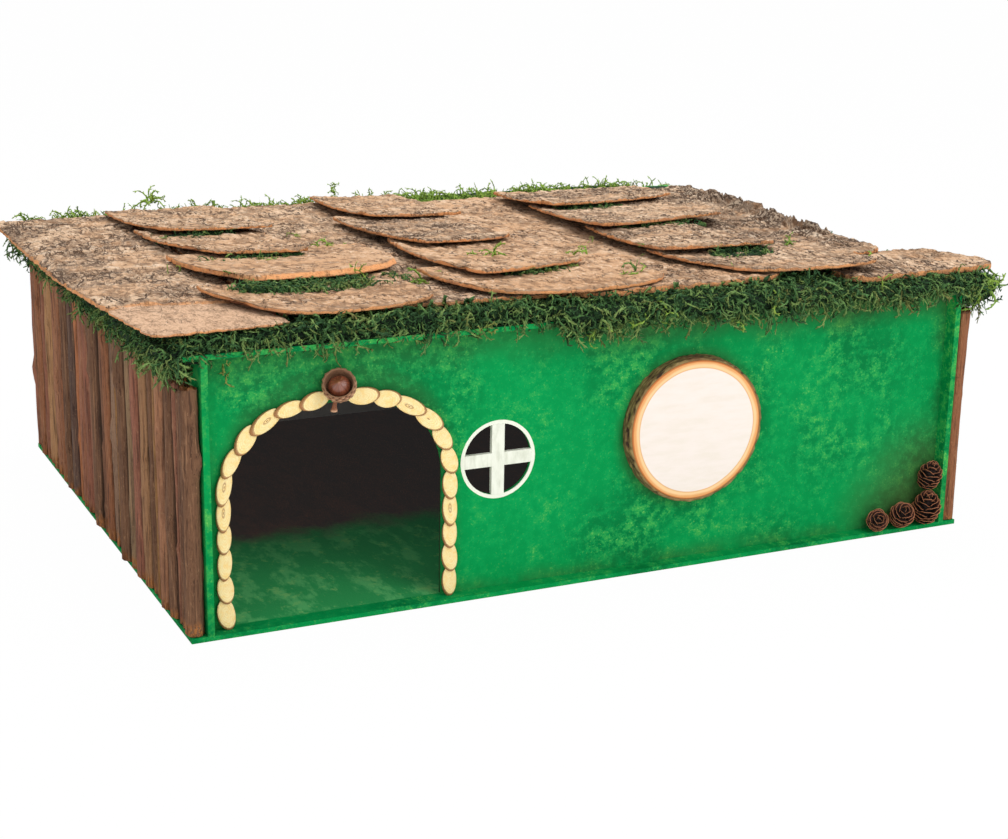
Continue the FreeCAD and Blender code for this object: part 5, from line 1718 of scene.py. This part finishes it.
def clearBoards(points):
    # in mm: strands go round the lid's edge and the walls
    wide, deep, low, high = mossLook["lid"]
    x, y, z = points.T
    inX, inY = wide - np.abs(x), deep - np.abs(y)
    inside = (inX > 0) & (inY > 0) & (z < high)
    over = inside & (z > low) & (high - z < np.minimum(inX, inY))
    points[over, 2] = high
    inside &= ~over
    # from a place in the lid they go out however deep it is, and from under it only out of the walls
    shallow = np.where(z > low, 100, mossLook["wall"])
    sideways = inside & (inX <= inY) & (inX < shallow)
    points[sideways, 0] = np.sign(x[sideways]) * wide
    ahead = inside & ~sideways & (inY < shallow) & ((z > low) | (inY > mossLook["setBack"]))
    points[ahead, 1] = np.sign(y[ahead]) * np.where(z[ahead] > low, deep, mossLook["panel"])
    return points


def barkFront():
    # for each millimetre across the roof: where the bark ends in front, and its height there
    spots = np.array([tuple(v.co) for piece in barkDone.values() for v in piece.data.vertices]) / mm
    spots = spots[np.argsort(-spots[:, 1])]
    table = np.full((2 * roofReach + 1, 2), 999.0) * (-1, 1)
    table[np.round(spots[:, 0]).astype(int) + roofReach] = spots[:, 1:]
    return table


def lowered(node, cover, points, chance):
    # in mm: in front of a shingle the pad under it stays below the shingle's edge, but for a few wisps
    x, y, z = points.T
    if node == "moss_front":
        front = frontTable[np.clip(np.round(x).astype(int) + roofReach, 0, 2 * roofReach)]
        ahead = (y < front[:, 0] + 1.5) & (chance < mossLook["wisps"])
        points[:, 2] -= 0.85 * ahead * np.maximum(z - front[:, 1] - 0.2, 0)
        points[:, 1] = np.where(y < -230, -230 + 0.5 * (y + 230), y)
    if cover:
        front = barkForm(cover)[3]
        ahead = y < np.interp(x, front[:, 0], front[:, 1]) + 1.5
        level = np.interp(x, front[:, 0], front[:, 2]) + 0.6
        points[:, 2] -= 0.72 * ahead * np.maximum(z - level, 0)
    if node == "moss_right":
        points[:, 2] -= ease(y, *mossLook["cornerEnd"]) * np.maximum(z - 173, 0)
    if node == "moss_back":
        points[:, 2] = np.minimum(z, 203.5 + 0.2 * (z - 203.5))
    return points


# sprigs and crumbs that lie on the bark: place in mm, strands, their length, how upright and how fresh
# they are; and those that hang from its edges, with their height and the way they head
crumbs = {
    "lying": [(212, -172, 6, 15, 0.9, 0.5), (176, -134, 7, 12, 0.5, 0.3), (29, -175, 8, 16, 0.8, 0.3),
              (33, -96, 7, 15, 0.8, 0.5), (22, -100, 5, 12, 0.5, 0.5), (69, -110, 4, 9, 0.2, 0.3),
              (70, -45, 4, 8, 0.2, 0.4), (105, -186, 3, 7, 0.2, 0.4), (16, -22, 4, 8, 0.3, 0.4),
              (-29, -11, 3, 8, 0.3, 0.3), (-29, -102, 5, 14, 0.9, 0.5), (-42, -96, 6, 15, 0.8, 0.5),
              (-118, -5, 8, 15, 0.7, 0.4), (-98, 15, 4, 9, 0.4, 0.4), (-117, 64, 6, 12, 0.6, 0.5),
              (-177, -49, 4, 8, 0.2, 0.3), (-213, -104, 5, 9, 0.2, 0.3), (-230, -40, 4, 8, 0.2, 0.3),
              (-96, -128, 7, 17, 0.9, 0.4), (-140, -124, 6, 14, 0.8, 0.4)],
    "hanging": [(282, -213, 171, 9, 22, (0.5, -0.6, -0.4), 0.4),
                (291, -208, 170, 7, 20, (0.8, -0.2, -0.8), 0.3),
                (-275, 192, 166, 6, 18, (-1.0, 0.0, 0.4), -0.3),
                (-279, 150, 168, 5, 16, (-1.0, -0.4, 0.2), -0.2),
                (-246, -206, 164, 3, 15, (-0.2, -0.5, -1.0), -0.9),
                (-92, -214, 173, 3, 13, (0.1, -0.4, -1.0), -0.9),
                (-179, 214, 184, 14, 19, (0.0, 0.1, 1.0), 0.6), (-30, 213, 186, 9, 13, (0.2, 0.1, 1.0), 0.6),
                (-22, -223, 165, 3, 15, (0.1, -0.2, 1.0), 0.5), (7, -222, 168, 3, 18, (-0.1, -0.2, 1.0), 0.6),
                (29, -221, 173, 4, 17, (0.1, -0.2, 1.0), 0.5), (112, -220, 172, 3, 16, (0.1, -0.2, 1.0), 0.5),
                (193, -217, 174, 3, 17, (-0.1, -0.2, 1.0), 0.7),
                (78, -222, 166, 3, 14, (0.3, -0.3, 0.9), 0.4)],
    "top": 203.6,              # mm, over which they bend
    "seed": 12,
}


def looseMoss():
    chance = random.Random(crumbs["seed"])
    points, faces, reach, tones, fresh = [], [], [], [], []

    def strand(spot, head, length, bright):
        shapePoints, shapeFaces, shapeReach = strandShapes[chance.choice(list(strandShapes))]
        turn = head.to_track_quat("Z", "Y").to_matrix()
        turn = turn @ Matrix.Rotation(chance.uniform(0, 6.28), 3, "Z")
        start = len(points)
        for point in shapePoints:
            bent = spot + turn @ Vector(point) * length
            bent.z -= 0.9 * max(0, bent.z - crumbs["top"])
            points.append(bent * mm)
        faces.extend(tuple(corner + start for corner in face) for face in shapeFaces)
        reach.extend(shapeReach)
        tones.extend([chance.uniform(0.3, 0.9) if bright > -0.5 else 1.2] * len(shapePoints))
        fresh.extend([max(bright, 0)] * len(shapePoints))

    for x, y, count, length, upright, bright in crumbs["lying"]:
        for _ in range(count):
            root = Vector((x + chance.gauss(0, 3.5), y + chance.gauss(0, 3.5), 0))
            hit = barkTree.ray_cast((root.x * mm, root.y * mm, 0.3), (0, 0, -1))
            if hit[0]:
                head = Vector((chance.gauss(0, 1), chance.gauss(0, 1), 0)).normalized()
                head.z = upright * chance.uniform(0.3, 1.6)
                root.z = hit[0].z / mm - 0.3
                strand(root, head, length * chance.uniform(0.5, 1.1), bright)
    for x, y, z, count, length, heading, bright in crumbs["hanging"]:
        for _ in range(count):
            root = Vector((x, y, z)) + Vector([chance.gauss(0, 2.5) for _ in range(3)])
            head = Vector(heading) + Vector([chance.gauss(0, 0.45) for _ in range(3)])
            strand(root, head, length * chance.uniform(0.6, 1.1), bright)
    loose = place("moss-loose", points, faces, mossPainted)
    marks = {"reach": reach, "chance": tones, "fresh": fresh, "mat": [0] * len(points)}
    for label, values in marks.items():
        mark(loose, label, values)
    hold(loose, "roof", "moss")


strandSet = bpy.data.collections.new("mossStrands")
scene.collection.children.link(strandSet)
strandShapes = {}
for seed, shape in enumerate(mossLook["strands"]):
    strandShapes[shape] = strandUnit(shape, seed + 3)
    points, faces, reach = strandShapes[shape]
    unit = place("strand_" + shape, points, faces)
    mark(unit, "reach", reach)
    scene.collection.objects.unlink(unit)
    strandSet.objects.link(unit)

frontTable = barkFront()
mossPainted = mossPaint()
mossCover = mossRecipe()
solidTree = treeOf(*[name for name in nodes if not name.startswith("moss")])
allBark = place("allBark", [], [])
shape = bmesh.new()
for piece in barkDone.values():
    shape.from_mesh(piece.data)
shape.to_mesh(allBark.data)
barkTree = BVHTree.FromBMesh(shape)
shape.free()
for seed, (node, values) in enumerate(mossPieces.items()):
    density, shortest, longest, follow, stray, rise, droop, clump, fresh, cover = values
    for half in ((-1, 1) if node in mossLook["halves"] else (0,)):
        name = node.replace("_", "-") + {0: "", -1: "-right", 1: "-left"}[half]
        piece = mossCover.grow(
            mossMat(node, fresh, cover, half), name, Strands=strandSet,
            Cover=barkDone[cover] if cover else allBark, Density=float(density), Shortest=shortest * mm,
            Longest=longest * mm, Follow=follow, Stray=stray, Rise=rise, Droop=droop, Clump=clump,
            Press=mossLook["press"] * mm, Crinkle=mossLook["crinkle"] * mm, Seed=seed * 10 + half)
        points = np.empty(len(piece.data.vertices) * 3)
        piece.data.vertices.foreach_get("co", points)
        chance = np.zeros(len(piece.data.vertices), np.float32)
        piece.data.attributes["chance"].data.foreach_get("value", chance)
        points = lowered(node, cover, clearBoards(points.reshape(-1, 3) / mm), chance) * mm
        piece.data.vertices.foreach_set("co", points.reshape(-1))
        piece.data.update()
        hold(piece, "roof", "moss", node)
looseMoss()
for unit in list(strandSet.objects):
    bpy.data.objects.remove(unit)
bpy.data.collections.remove(strandSet)
bpy.data.objects.remove(allBark)
print("moss has grown")
